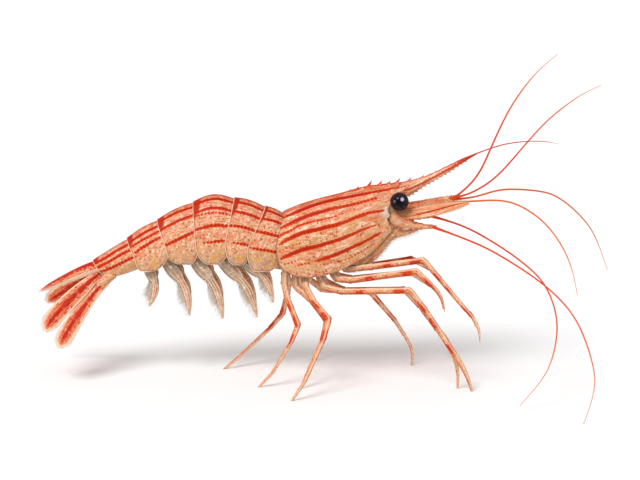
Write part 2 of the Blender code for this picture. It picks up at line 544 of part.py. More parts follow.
def stand(groups):
    """Move the origin to the middle of the footprint, through one parent empty."""
    corners = [vertex.co for piece in groups[0].objects for vertex in piece.data.vertices]
    root = bpy.data.objects.new("shrimp_root", None)
    groups[0].objects.link(root)
    root.location = [-(min(c[axis] for c in corners) + max(c[axis] for c in corners)) / 2
                     for axis in (0, 1)] + [0.0]
    for group in groups:
        for piece in group.objects:
            if piece is not root:
                piece.parent = root


def collection(name):
    made = bpy.data.collections.new(name)
    bpy.context.scene.collection.children.link(made)
    return made


def build():
    for old in list(bpy.data.objects):
        bpy.data.objects.remove(old)
    shrimp, cutters = collection("shrimp"), collection("cutters")
    carapace(shrimp)
    for number in range(1, len(LOBES) + 1):
        somite(number, shrimp)
    last_somite(shrimp)
    mouthparts = underside(shrimp)
    for word, side in SIDES.items():
        join(mouthparts, tube(f"palp_{word}", mirrored(PALP, side), "leg", cutters))
    rostrum(shrimp)
    eyes(shrimp)
    head_limbs(shrimp)
    feelers(shrimp)
    legs(shrimp, cutters)
    swimming_legs(shrimp, cutters)
    tail_fan(shrimp)
    stand((shrimp, cutters))


build()
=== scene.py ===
"""A striped deep-water shrimp as a still museum model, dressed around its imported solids.

The script follows the animal from the carapace and its rostrum back over the plates to the tail
fan, and then through the flesh, the legs, the mouth, the feelers, the swimming legs, the eyes and
the hair. Sizes are in millimetres in the animal's own layout: X runs forward from the carapace's
rear edge, Y to the animal's left and Z up from the floor.
"""

import math
import random
from collections import namedtuple

import bmesh
import bpy
import numpy as np
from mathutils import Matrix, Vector
from mathutils.kdtree import KDTree


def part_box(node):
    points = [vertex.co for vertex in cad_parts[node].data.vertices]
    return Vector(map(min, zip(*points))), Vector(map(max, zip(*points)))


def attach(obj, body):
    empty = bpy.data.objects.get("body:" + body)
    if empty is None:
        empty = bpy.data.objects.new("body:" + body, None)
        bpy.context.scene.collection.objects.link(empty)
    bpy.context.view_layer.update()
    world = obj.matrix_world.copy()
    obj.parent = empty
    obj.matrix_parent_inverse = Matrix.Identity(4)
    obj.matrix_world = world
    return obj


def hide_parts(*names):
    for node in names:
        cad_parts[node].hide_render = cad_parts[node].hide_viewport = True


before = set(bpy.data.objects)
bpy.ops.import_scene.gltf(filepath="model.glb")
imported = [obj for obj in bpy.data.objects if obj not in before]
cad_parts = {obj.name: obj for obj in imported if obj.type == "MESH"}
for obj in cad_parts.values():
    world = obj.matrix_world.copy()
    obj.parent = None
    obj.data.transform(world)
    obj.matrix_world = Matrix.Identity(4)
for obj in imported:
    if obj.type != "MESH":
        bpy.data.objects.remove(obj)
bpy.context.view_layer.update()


# ---------------------------------------------------------------------------------------------
# Carapace and rostrum. One stiff, thin shell over head and thorax, open below, that runs out in
# front into a toothed blade with a whip-like end. It is chitin, moulded in one piece: cream,
# with lengthwise red stripes and a thickened pale rim.

MM = 0.001
EYE_CENTRE, EYE_RADIUS = (33.1, 6.5, 51.2), 2.6
SIDES = {"right": -1, "left": 1}

low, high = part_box("eye_right")
ORIGIN = (low + high) / 2 - Vector((EYE_CENTRE[0], -EYE_CENTRE[1], EYE_CENTRE[2])) * MM

# A line round a plate: in side view its mid-back, its flank where it is widest and its lower
# edge, and then its half width at the flank.
Line = namedtuple("Line", "back_x back_z flank_x flank_z edge_x edge_z half_width")
CARAPACE = (
    Line(1.1, 46.6, -0.9, 39.0, 1.4, 31.9, 6.9),
    Line(5.6, 48.5, 4.0, 40.0, 4.6, 30.1, 7.6),
    Line(10.6, 50.1, 9.5, 41.2, 9.6, 29.8, 7.9),
    Line(15.6, 51.4, 15.0, 42.6, 14.8, 31.0, 7.7),
    Line(20.6, 52.5, 20.3, 44.2, 20.3, 33.4, 7.2),
    Line(25.6, 53.6, 25.8, 45.9, 26.0, 36.9, 6.3),
    Line(29.1, 54.3, 30.1, 47.0, 31.4, 42.7, 5.2),
)
TUCK = 0.15                 # how far a lower edge turns in, as a share of the half width
SHELL = 0.35                # thickness of a plate
RIM = (0.07, 0.2)           # height and reach of the thickened rim
RIM_TOP, RIM_BEHIND = 52.4, 10.0    # there is no rim above this height, except behind that place
# Ridge under the rostrum's root: height, half width, where it sets in and over what share of the
# length, and how much of it goes again under the hood.
KEEL = (0.55, 0.8, 0.45, 0.3, 0.8)
FRONT_FROM = 0.78           # the front margin takes its shape over the carapace's last part
# Features of the front margin: (share down the side, reach forward, spread).
FRONT_MARGIN = ((0.34, 0.8, 0.08), (0.5, 0.6, 0.03), (0.57, -0.3, 0.04), (0.8, 0.35, 0.1))
HOOD = (5.2, 0.4, 0.1)      # reach over the rostrum's root, spread down the side, and rise
HOOD_PINCH = (0.45, 2.2)    # how much the hood closes in on the blade, and how soon

BEAD_STEP, BEAD_GAP = 1.0, 0.3      # length of one bead with its gap, and how clear the gap is
LINE_BOLDNESS = 1.22                # all half widths are this much larger than written
LINE_REACH = 1.5                    # a line's effect is looked for this far from it
FAR = 9.0                           # stands for no line or rim near
# Red lines on a plate, each with how much it breaks up into beads, and rows of (share along,
# share down the side, half width).
CARAPACE_LINES = (
    (0.0, ((0.0, 0.0, 0.3), (0.3, 0.0, 0.4), (0.6, 0.0, 0.4), (1.0, 0.0, 0.4))),
    (0.3, ((0.0, 0.075, 0.2), (0.3, 0.06, 0.24), (0.6, 0.065, 0.2), (0.9, 0.07, 0.2))),
    (0.1, ((0.02, 0.165, 0.4), (0.15, 0.15, 0.6), (0.3, 0.125, 0.7), (0.45, 0.12, 0.65),
           (0.63, 0.13, 0.6), (0.78, 0.145, 0.5), (0.9, 0.155, 0.4), (1.0, 0.14, 0.3))),
    (1.0, ((0.05, 0.235, 0.2), (0.2, 0.215, 0.24), (0.4, 0.185, 0.2))),
    (0.1, ((0.02, 0.31, 0.35), (0.14, 0.275, 0.54), (0.28, 0.25, 0.56), (0.45, 0.24, 0.5))),
    (0.35, ((0.45, 0.24, 0.5), (0.6, 0.25, 0.48), (0.72, 0.255, 0.44), (0.86, 0.25, 0.4))),
    (0.15, ((0.0, 0.405, 0.34), (0.1, 0.375, 0.38), (0.2, 0.335, 0.36), (0.32, 0.33, 0.36),
            (0.45, 0.335, 0.32), (0.56, 0.325, 0.26), (0.72, 0.32, 0.16))),
    (0.1, ((0.04, 0.5, 0.3), (0.14, 0.445, 0.5), (0.25, 0.42, 0.54), (0.42, 0.42, 0.52),
           (0.57, 0.42, 0.46), (0.75, 0.4, 0.42), (0.93, 0.42, 0.36))),
    (1.0, ((0.05, 0.575, 0.3), (0.13, 0.535, 0.3), (0.21, 0.52, 0.28), (0.3, 0.495, 0.22))),
    (0.05, ((0.05, 0.675, 0.35), (0.13, 0.615, 0.5), (0.25, 0.575, 0.54), (0.42, 0.565, 0.5),
            (0.6, 0.56, 0.46), (0.78, 0.55, 0.34), (0.91, 0.575, 0.2))),
    (0.05, ((0.34, 0.697, 0.3), (0.42, 0.69, 0.46), (0.56, 0.68, 0.5), (0.7, 0.675, 0.44),
            (0.86, 0.68, 0.4), (0.94, 0.75, 0.16))),
    (1.0, ((0.08, 0.74, 0.3), (0.16, 0.69, 0.3), (0.24, 0.655, 0.25))),
    (0.75, ((0.17, 0.745, 0.28), (0.25, 0.715, 0.34), (0.33, 0.7, 0.3))),
    (1.0, ((0.39, 0.745, 0.28), (0.5, 0.755, 0.3), (0.62, 0.785, 0.3), (0.74, 0.77, 0.32),
           (0.82, 0.775, 0.28), (0.92, 0.85, 0.2))),
    (1.0, ((0.12, 0.84, 0.24), (0.3, 0.83, 0.26), (0.5, 0.86, 0.26), (0.7, 0.88, 0.22))),
)

# Rostrum: (x, upper edge z, lower edge z, half thickness), then the thin whip at its tip.
ROSTRUM = ((19.0, 52.6, 52.4, 0.3), (24.0, 53.8, 53.3, 0.45), (28.2, 54.8, 52.4, 0.9),
           (30.1, 55.0, 51.0, 1.1), (32.5, 55.1, 50.5, 1.2), (36.4, 55.8, 51.5, 1.1),
           (40.2, 56.9, 54.1, 1.0), (43.6, 58.4, 56.1, 0.85), (47.1, 60.2, 58.2, 0.7),
           (50.5, 62.0, 60.5, 0.5), (54.7, 63.7, 63.2, 0.2))
BLADE_THINNING = 0.45       # the blade thins by this share from its middle to its edges
# Its root spreads into a roof over the eyes: extra half thickness, where it has gone and over how
# long it goes, where it sets in and over how long, and how softly it starts down the sides.
ROOF = (1.7, 35.5, 5.0, 29.6, 1.6, 1.3)
WHIP = ((54.7, 63.45), (58.6, 64.9), (62.5, 66.05), (66.4, 66.65), (70.3, 66.9), (74.2, 66.7),
        (78.2, 65.9))
WHIP_WIDTHS = (0.4, 0.16)
WHIP_POINT = 1 / 6          # the whip narrows to its point over this share
POINT = 0.02                # a point keeps this share of its width, so that it can be closed
# Teeth of both edges: (x of the tip, height).
UPPER_TEETH = ((19.9, 0.9), (22.2, 1.2), (25.7, 2.0), (28.7, 1.3), (31.0, 0.8), (33.6, 1.5),
               (36.8, 1.15), (40.3, 0.8), (42.1, 0.5), (43.9, 0.6), (46.1, 0.6), (47.9, 0.55),
               (49.5, 0.45), (50.8, 0.4), (52.1, 0.3))
LOWER_TEETH = tuple((36.6 + 1.12 * k, 0.32 - 0.01 * k) for k in range(15))
TOOTH_BASE = 0.7            # a tooth is this much longer than it is high
TOOTH_LEAN = 0.8            # its tip overhangs the blade by this much
TOOTH_FOOT = 0.3            # its front face is this long
TOOTH_SHARPNESS = 7         # how narrow a tooth is across the blade
# Red lines along the blade, beaded like the carapace's, in rows of (x, share down its depth,
# half width).
ROSTRUM_LINES = (
    (0.1, ((20.0, 0.0, 0.22), (28.6, 0.0, 0.25), (37.2, 0.02, 0.22), (45.8, 0.05, 0.2),
           (54.5, 0.4, 0.24))),
    (0.3, ((30.0, 0.24, 0.14), (36.0, 0.27, 0.1), (42.0, 0.32, 0.08), (48.0, 0.4, 0.12),
           (54.0, 0.5, 0.2))),
    (0.05, ((29.0, 0.4, 0.22), (33.5, 0.46, 0.2), (38.0, 0.5, 0.18), (42.5, 0.5, 0.15),
            (47.0, 0.55, 0.14), (52.0, 0.55, 0.18))),
    (0.5, ((31.0, 0.74, 0.08), (35.0, 0.78, 0.08), (39.0, 0.8, 0.04))),
    (0.5, ((36.0, 0.97, 0.14), (41.0, 0.96, 0.16), (46.0, 0.92, 0.2), (51.0, 0.8, 0.24),
           (54.5, 0.6, 0.24))),
    (0.0, ((54.5, 0.5, 0.2), (66.0, 0.5, 0.2), (78.0, 0.5, 0.1))),
)


def place(x, y, z):
    """A point of the animal's own layout, in metres in the frame."""
    return ORIGIN + Vector((x, y, z)) * MM


def mix(a, b, t):
    """From a to b by the share t."""
    return a + (b - a) * t


def ease(t):
    """A soft step from 0 to 1."""
    t = min(max(t, 0.0), 1.0)
    return t * t * (3 - 2 * t)


def bell(d, reach):
    """1 at no distance, falling softly to nothing beyond the reach."""
    return math.exp(-(d / reach) ** 2)


def smooth(rows, t):
    """A smooth curve through evenly spaced rows of numbers, read at t from 0 to 1."""
    last = len(rows) - 1
    step = min(int(t * last), last - 1)
    part = t * last - step
    near = [rows[min(max(step + k, 0), last)] for k in (-1, 0, 1, 2)]
    return tuple(0.5 * (2 * b + (c - a) * part + (2 * a - 5 * b + 4 * c - d) * part ** 2
                        + (3 * b - a - 3 * c + d) * part ** 3)
                 for a, b, c, d in zip(*near))


def plate_point(line, s):
    """A point of a plate's section, from s = -1 at the left edge over the back to 1 at the right."""
    side, down = (-1 if s > 0 else 1), abs(s)
    if down <= 0.5:
        turn = math.pi * down
        return (mix(line.flank_x, line.back_x, math.cos(turn)),
                side * line.half_width * math.sin(turn),
                mix(line.flank_z, line.back_z, math.cos(turn)))
    turn = math.pi * (down - 0.5)
    return (mix(line.edge_x, line.flank_x, math.cos(turn)),
            side * line.half_width * (1 - TUCK * math.sin(turn) ** 2),
            mix(line.flank_z, line.edge_z, math.sin(turn)))


def carapace_point(u, s):
    """A point of the carapace, u from the rear margin to the front one."""
    line = Line(*smooth(CARAPACE, u))
    x, y, z = plate_point(line, s)
    forward = ease((u - FRONT_FROM) / (1 - FRONT_FROM))
    x += forward * sum(reach * bell(abs(s) - down, spread) for down, reach, spread in FRONT_MARGIN)
    reach, spread, rise = HOOD
    pinch, haste = HOOD_PINCH
    hood = forward * max(0.0, 1 - abs(s) / spread)
    height, half_width, keel_from, keel_over, keel_loss = KEEL
    keel = height * ease((u - keel_from) / keel_over) * (1 - keel_loss * forward) * bell(y, half_width)
    return x + hood * reach, y * (1 - pinch * ease(haste * hood)), z + hood * reach * rise + keel


def whole_map(u, s):
    """The flat map of a sheet: along it from 0 to 1, and across it from 0 to 1."""
    return u, (s + 1) / 2


def sheet(work, point, along, across, lie=whole_map):
    """Adds a grid whose points are placed by point(u, s), with lie(u, s) as its flat map."""
    flat = work.loops.layers.uv.get("Lie") or work.loops.layers.uv.new("Lie")
    made = bmesh.ops.create_grid(work, x_segments=along, y_segments=across, size=0.5)["verts"]
    shares = {vertex: (vertex.co.x + 0.5, 2 * vertex.co.y) for vertex in made}
    for face in {face for vertex in made for face in vertex.link_faces}:
        for loop in face.loops:
            loop[flat].uv = lie(*shares[loop.vert])
    for vertex, (u, s) in shares.items():
        vertex.co = place(*point(u, s))
    return made


def border_points(work):
    """The places of a shell's open edges."""
    return [vertex.co.copy() for vertex in work.verts if vertex.is_boundary]


def point_tree(points):
    """A tree that finds the nearest of the points."""
    tree = KDTree(len(points))
    for number, point in enumerate(points):
        tree.insert(point, number)
    tree.balance()
    return tree


def thicken(work, made, border):
    """Raises a shell's rim, and gives the shell its thickness towards the inside."""
    work.normal_update()
    tree = point_tree(border)
    height, reach = RIM
    for vertex in made:
        vertex.co += vertex.normal * height * MM * bell(tree.find(vertex.co)[2], reach * MM)
    bmesh.ops.solidify(work, geom=work.faces[:], thickness=SHELL * MM)


def finish(name, work, material, slot, *nodes):
    """Makes the shape a piece that rides on the body and stands for the named solids."""
    mesh = bpy.data.meshes.new(name)
    work.to_mesh(mesh)
    work.free()
    mesh.materials.append(material)
    mesh.shade_smooth()
    piece = bpy.data.objects.new(name, mesh)
    bpy.context.scene.collection.objects.link(piece)
    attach(piece, "root")
    if nodes:
        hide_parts(*nodes)
    return piece


def line_samples(point, lines, steps=200):
    """Places along red lines: rows of x, y, z in millimetres with y unsigned, and half width."""
    found = []
    for bead, rows in lines:
        gone, before = 0.0, None
        for k in range(steps + 1):
            along, down, half = smooth(rows, k / steps)
            x, y, z = point(along, down)
            here = Vector((x, abs(y), z))
            gone += (here - before).length if before else 0.0
            before = here
            gap = (0.5 - 0.5 * math.cos(math.tau * gone / BEAD_STEP)) * bead
            found.append((*here, mix(half * LINE_BOLDNESS, -BEAD_GAP, gap)))
    return found


def store(mesh, name, values):
    """Stores one value for each vertex, for the material to read."""
    layer = mesh.attributes.new(name, "FLOAT", "POINT")
    layer.data.foreach_set("value", np.asarray(values, np.float32))


def paint_lines(piece, samples):
    """Stores how far each vertex lies outside the nearest red line, in millimetres."""
    mesh = piece.data
    spots = np.empty(len(mesh.vertices) * 3)
    mesh.vertices.foreach_get("co", spots)
    spots = (spots.reshape(-1, 3) - np.array(ORIGIN)) / MM
    spots[:, 1] = np.abs(spots[:, 1])
    outside = np.full(len(spots), FAR)
    for x, y, z, half in samples:
        near = np.flatnonzero(np.abs(spots[:, 0] - x) < LINE_REACH)
        gap = np.linalg.norm(spots[near] - (x, y, z), axis=1) - half
        outside[near] = np.minimum(outside[near], gap)
    store(mesh, "line", outside)


def paint_rim(piece, border):
    """Stores how far each vertex lies from the free edges, in millimetres."""
    tree = point_tree(border)
    store(piece.data, "rim", [tree.find(vertex.co)[2] / MM for vertex in piece.data.vertices])


def paint_even(piece, name, value):
    """Stores the same value all over a piece."""
    store(piece.data, name, np.full(len(piece.data.vertices), value))


def rostrum_section(x):
    """Upper edge, lower edge and half thickness of the blade at x."""
    for (start, *near), (end, *far) in zip(ROSTRUM, ROSTRUM[1:]):
        if x <= end:
            return [mix(a, b, (x - start) / (end - start)) for a, b in zip(near, far)]
    return ROSTRUM[-1][1:]


def tooth(teeth, x):
    """How far forward and out the blade's edge is drawn at x, for the teeth on it."""
    for tip, height in teeth:
        heel, peak = tip - TOOTH_BASE - height, tip - TOOTH_LEAN
        if heel <= x <= peak:
            share = (x - heel) / (peak - heel)
            return TOOTH_LEAN * share ** 2, height * share ** 2
        if peak < x < peak + TOOTH_FOOT:
            share = (x - peak) / TOOTH_FOOT
            return TOOTH_LEAN * (1 - share), height * (1 - share)
    return 0.0, 0.0


def rostrum_point(u, s):
    """A point of the blade and its whip, s once round the section from its lower edge."""
    start, end = ROSTRUM[0][0], ROSTRUM[-1][0]
    turn = math.pi * s
    up, out = math.cos(turn), math.sin(turn)
    x = mix(start, WHIP[-1][0], u)
    if x <= end:
        upper, lower, half = rostrum_section(x)
        forward, height = tooth(UPPER_TEETH, x)
        under_forward, depth = tooth(LOWER_TEETH, x)
        crest = max(up, 0.0) ** TOOTH_SHARPNESS
        under = max(-up, 0.0) ** TOOTH_SHARPNESS
        z = mix(lower, upper, (up + 1) / 2) + height * crest - depth * under
        extra, gone_x, gone_over, from_x, from_over, slope = ROOF
        roof = ease((gone_x - x) / gone_over) * ease((x - from_x) / from_over)
        half += extra * roof * ease((1.0 - up) / slope)
        return (x + forward * crest + under_forward * under,
                half * out * (1 - BLADE_THINNING * up ** 2), z)
    t = (x - end) / (WHIP[-1][0] - end)
    middle_x, z = smooth(WHIP, t)
    half = mix(*WHIP_WIDTHS, t) / 2 * min(1.0, (1 - t) / WHIP_POINT + POINT)
    return middle_x, half * out, z + half * up


def add(tree, kind, inputs=(), **settings):
    """A shader node with its settings, its inputs given as sockets to link or as values."""
    node = tree.nodes.new("ShaderNode" + kind)
    for name, value in settings.items():
        setattr(node, name, value)
    for name, value in dict(inputs).items():
        if isinstance(value, bpy.types.NodeSocket):
            tree.links.new(value, node.inputs[name])
        else:
            node.inputs[name].default_value = value
    return node


def calc(tree, operation, *values):
    """Arithmetic on sockets or values."""
    return add(tree, "Math", enumerate(values), operation=operation).outputs[0]


def times(tree, one, other):
    return calc(tree, "MULTIPLY", one, other)


def vector(tree, operation, *values):
    """Arithmetic on places."""
    return add(tree, "VectorMath", enumerate(values), operation=operation).outputs[0]


def distance(tree, across, up):
    """How far off a place is that lies so much across and up."""
    squares = calc(tree, "ADD", calc(tree, "POWER", across, 2.0), calc(tree, "POWER", up, 2.0))
    return calc(tree, "SQRT", squares)


def ramp(tree, value, start, end):
    """0 up to start, 1 from end, with a soft step between. With start beyond end it falls."""
    node = add(tree, "MapRange", {0: value, 1: start, 2: end}, interpolation_type="SMOOTHSTEP")
    return node.outputs[0]


def tint(tree, factor, one, other, blend_type="MIX"):
    """From one colour to the other by the factor."""
    node = add(tree, "Mix", {0: factor, 6: one, 7: other}, data_type="RGBA", blend_type=blend_type)
    return node.outputs[2]


def lay(tree, colour, mask, strength, other):
    """The colour with another one over it where the mask is, at most that strong."""
    return tint(tree, times(tree, mask, strength), colour, other)


def noise(tree, spot, scale, detail, rough=0.5):
    """Soft clouds from 0 to 1, about so many to a unit of the spot."""
    inputs = {"Vector": spot, "Scale": scale, "Detail": detail, "Roughness": rough}
    return add(tree, "TexNoise", inputs).outputs["Fac"]


def attribute(tree, name):
    """What a piece's vertices have stored under that name."""
    return add(tree, "Attribute", attribute_name=name).outputs["Fac"]


def rgb(red, green, blue):
    """A colour from its screen values of 0 to 255."""
    linear = [(c / 255 / 12.92) if c <= 10 else ((c / 255 + 0.055) / 1.055) ** 2.4
              for c in (red, green, blue)]
    return (*linear, 1.0)


def new_group(name, inputs, outputs):
    """An empty node group and its two ends. A float makes a value's socket, a tuple a colour's
    and None a vector's."""
    tree = bpy.data.node_groups.new(name, "ShaderNodeTree")
    kinds = {float: "NodeSocketFloat", tuple: "NodeSocketColor"}
    for in_out, sockets in (("INPUT", inputs), ("OUTPUT", outputs)):
        for socket, value in sockets.items():
            kind = kinds.get(type(value), "NodeSocketVector")
            made = tree.interface.new_socket(socket, in_out=in_out, socket_type=kind)
            if value is not None and in_out == "INPUT":
                made.default_value = value
    return tree, tree.nodes.new("NodeGroupInput").outputs, tree.nodes.new("NodeGroupOutput").inputs


def millimetres(tree):
    """The piece's own coordinates, in millimetres."""
    spot = add(tree, "TexCoord").outputs["Object"]
    return add(tree, "VectorMath", {0: spot, "Scale": 1 / MM}, operation="SCALE").outputs[0]


def shade_of(tree, value):
    """A grey of that value."""
    return add(tree, "CombineColor", {0: value, 1: value, 2: value}).outputs[0]


def flat_map(tree):
    """The two shares of a piece's flat map: along it, and across or round it."""
    flat = add(tree, "UVMap", uv_map="Lie").outputs[0]
    return add(tree, "SeparateXYZ", {0: flat}).outputs[:2]


def spot_at(tree, *parts):
    """A place for a pattern, from its parts."""
    return add(tree, "CombineXYZ", enumerate(parts)).outputs[0]


def flow(tree, length, girth, stretch):
    """Flat coordinates of a plate in millimetres, drawn out along it, and its own two shares."""
    along, across = flat_map(tree)
    down = calc(tree, "ABSOLUTE", calc(tree, "MULTIPLY_ADD", across, 2.0, -1.0))
    spot = spot_at(tree, times(tree, along, length / stretch), times(tree, across, girth))
    return spot, along, down


def surface_group():
    """Uneven chitin: patches of three tints over a ground, a fine grain, small dots, and relief."""
    tree, given, out = new_group(
        "Surface",
        {"Spot": None, "Ground": (0.8, 0.5, 0.3, 1.0), "Pale": (0.9, 0.7, 0.5, 1.0),
         "Warm": (0.9, 0.4, 0.3, 1.0), "Cool": (0.6, 0.5, 0.4, 1.0), "Dot": (0.4, 0.05, 0.02, 1.0),
         "Mottling": 0.6, "Dots": 0.6, "Dot size": 0.3, "Dot spacing": 1.3, "Relief": 0.4},
        {"Color": (0.0, 0.0, 0.0, 1.0), "Uneven": 0.0, "Normal": None})
    here = millimetres(tree)
    colour = given["Ground"]
    # Each layer of patches: its tint, its scale, where it sets in and is full, and its shift.
    for shade, scale, start, end, shift in (("Warm", 0.65, 0.5, 0.62, 7.0),
                                            ("Cool", 0.55, 0.5, 0.62, 31.0),
                                            ("Pale", 1.1, 0.53, 0.62, 53.0),
                                            ("Warm", 2.2, 0.57, 0.66, 90.0)):
        cloud = noise(tree, vector(tree, "ADD", given["Spot"], (shift, 0.0, shift)), scale, 4.0, 0.55)
        colour = lay(tree, colour, ramp(tree, cloud, start, end), given["Mottling"], given[shade])
    fine = noise(tree, here, 2.6, 4.0, 0.65)
    grain = calc(tree, "MULTIPLY_ADD", ramp(tree, fine, 0.32, 0.68), 0.32, 0.81)
    colour = tint(tree, 1.0, colour, shade_of(tree, grain), "MULTIPLY")
    per_mm = calc(tree, "DIVIDE", 1.0, given["Dot spacing"])
    dots = add(tree, "TexVoronoi", {"Vector": here, "Scale": per_mm}).outputs
    away = times(tree, dots["Distance"], given["Dot spacing"])
    lots = add(tree, "SeparateColor", {0: dots["Color"]}).outputs
    size = times(tree, given["Dot size"], calc(tree, "MULTIPLY_ADD", lots[0], 0.6, 0.4))
    mask = ramp(tree, calc(tree, "SUBTRACT", away, size), 0.08, -0.05)
    mask = times(tree, mask, calc(tree, "LESS_THAN", lots[1], given["Dots"]))
    tree.links.new(lay(tree, colour, mask, 0.85, given["Dot"]), out["Color"])
    tree.links.new(fine, out["Uneven"])
    broad = noise(tree, here, 0.5, 2.0)
    height = calc(tree, "ADD", times(tree, broad, 0.7), times(tree, fine, 0.3))
    bump = add(tree, "Bump", {"Height": height, "Strength": given["Relief"], "Distance": 0.6 * MM})
    tree.links.new(bump.outputs[0], out["Normal"])
    return tree


SURFACE = surface_group()


def lines_group():
    """Where the red lines run, with soft uneven edges."""
    tree, given, out = new_group("Lines", {"Soft": 0.1, "Grow": 0.0}, {"Mask": 0.0, "Core": 0.0})
    here = millimetres(tree)
    wobble = calc(tree, "MULTIPLY_ADD", noise(tree, here, 1.5, 4.0, 0.65), 0.5, -0.25)
    gap = calc(tree, "SUBTRACT", calc(tree, "ADD", attribute(tree, "line"), wobble), given["Grow"])
    inside = times(tree, given["Soft"], -1.0)
    tree.links.new(ramp(tree, gap, given["Soft"], inside), out["Mask"])
    tree.links.new(ramp(tree, gap, -0.02, -0.4), out["Core"])
    return tree


LINES = lines_group()
LINE_EDGE, LINE_CORE = rgb(208, 56, 4), rgb(176, 20, 0)
PALE_RIM, RIM_SHADE = rgb(250, 218, 188), rgb(140, 70, 40)


def principled(name, roughness, subsurface=0.0):
    """A new material, its tree and its shader."""
    made = bpy.data.materials.new(name)
    made.use_nodes = True
    shader = made.node_tree.nodes["Principled BSDF"]
    shader.inputs["Roughness"].default_value = roughness
    shader.inputs["Specular IOR Level"].default_value = 0.035
    shader.inputs["Subsurface Weight"].default_value = subsurface
    shader.inputs["Subsurface Radius"].default_value = (1.0, 0.45, 0.25)
    shader.inputs["Subsurface Scale"].default_value = 0.9 * MM
    return made, made.node_tree, shader


def use_group(tree, group, inputs):
    """Places a group with its own values, and gives its outputs."""
    node = tree.nodes.new("ShaderNodeGroup")
    node.node_tree = group
    for name, value in inputs.items():
        if isinstance(value, bpy.types.NodeSocket):
            tree.links.new(value, node.inputs[name])
        else:
            node.inputs[name].default_value = value
    return node.outputs


def finish_look(tree, shader, colour, normal):
    """Leads a colour and a normal into the shader."""
    tree.links.new(colour, shader.inputs["Base Color"])
    tree.links.new(normal, shader.inputs["Normal"])


SHELL_PALE, SHELL_WARM, SHELL_COOL = rgb(250, 216, 186), rgb(226, 128, 86), rgb(216, 164, 104)
SHELL_DOT = rgb(160, 36, 14)
# The last of these is the pale colour of a painted highlight.
STREAK, DASH, PAINTED_HIGHLIGHT_COLOUR = rgb(200, 72, 28), rgb(202, 96, 52), rgb(252, 220, 196)
BLOOM_YELLOW, BLOOM_GREY, BLUSH = rgb(216, 170, 98), rgb(158, 152, 144), rgb(222, 104, 86)


def shell_streaks(tree, look, spot, down, streaks):
    """Orange streaks and dashes along a plate, and a painted highlight along its shoulder."""
    cloud = noise(tree, vector(tree, "MULTIPLY", spot, (0.6, 2.6, 1.0)), 1.0, 2.0, 0.55)
    cloud = calc(tree, "ADD", cloud, times(tree, down, -0.4))
    colour = lay(tree, look["Color"], ramp(tree, cloud, 0.42, 0.5), streaks, STREAK)
    dash = noise(tree, vector(tree, "MULTIPLY", spot, (1.3, 5.0, 1.0)), 1.0, 3.0, 0.6)
    colour = lay(tree, colour, ramp(tree, dash, 0.54, 0.62), 0.6, DASH)
    colour = lay(tree, colour, ramp(tree, dash, 0.44, 0.36), 0.5, SHELL_PALE)
    # Painted highlight: pale patches along the shoulder, where the gloss would catch the light.
    shoulder = times(tree, ramp(tree, down, 0.04, 0.14), ramp(tree, down, 0.5, 0.25))
    painted_highlight = times(tree, shoulder, ramp(tree, look["Uneven"], 0.4, 0.6))
    return lay(tree, colour, painted_highlight, 0.28, PAINTED_HIGHLIGHT_COLOUR)


def shell_bloom(tree, colour, down, bloom):
    """Yellow patches on the lower flank, and grey ones that close up at the lower edge."""
    broad = noise(tree, millimetres(tree), 0.55, 3.0)
    yellow = times(tree, ramp(tree, down, 0.36, 0.62), ramp(tree, broad, 0.56, 0.38))
    colour = lay(tree, colour, yellow, 0.5, BLOOM_YELLOW)
    grey = times(tree, ramp(tree, down, 0.5, 0.78), ramp(tree, broad, 0.44, 0.62))
    grey = calc(tree, "MAXIMUM", grey, ramp(tree, down, 0.84, 0.94))
    return lay(tree, colour, grey, bloom, BLOOM_GREY)


def shell_blotch(tree, look, colour, along, down, blotch):
    """A deep red blotch in the upper rear corner."""
    near = times(tree, ramp(tree, along, 0.72, 0.99), ramp(tree, down, 0.42, 0.08))
    near = times(tree, near, calc(tree, "MULTIPLY_ADD", look["Uneven"], 1.4, 0.3))
    return lay(tree, colour, ramp(tree, near, 0.22, 0.5), blotch, LINE_CORE)


def shell_patch(tree, look, colour, along, down, patch):
    """A ragged spot of another colour: (share along, share down, reach), and its colour."""
    (centre_along, centre_down, reach), patch_colour = patch
    away = distance(tree, calc(tree, "SUBTRACT", along, centre_along),
                    calc(tree, "SUBTRACT", down, centre_down))
    away = calc(tree, "ADD", away, calc(tree, "MULTIPLY_ADD", look["Uneven"], 0.3, -0.15))
    return lay(tree, colour, ramp(tree, away, reach + 0.03, reach - 0.02), 0.7, patch_colour)


def shell_lines(tree, look, colour, lines):
    """The red lines, and the pale rim along the free edges with a band of painted shade inside it."""
    line = use_group(tree, LINES, {"Soft": 0.09, "Grow": 0.1})
    red = lay(tree, LINE_EDGE, line["Core"], calc(tree, "ADD", look["Uneven"], 0.5), LINE_CORE)
    colour = lay(tree, colour, line["Mask"], lines, red)
    rim = attribute(tree, "rim")
    # Painted shade: a dark band just inside the pale rim, like the shadow in a groove.
    painted_groove_shade = times(tree, ramp(tree, rim, 0.16, 0.28), ramp(tree, rim, 0.6, 0.34))
    colour = lay(tree, colour, painted_groove_shade, 0.5, RIM_SHADE)
    return lay(tree, colour, ramp(tree, rim, 0.24, 0.12), 0.85, PALE_RIM)


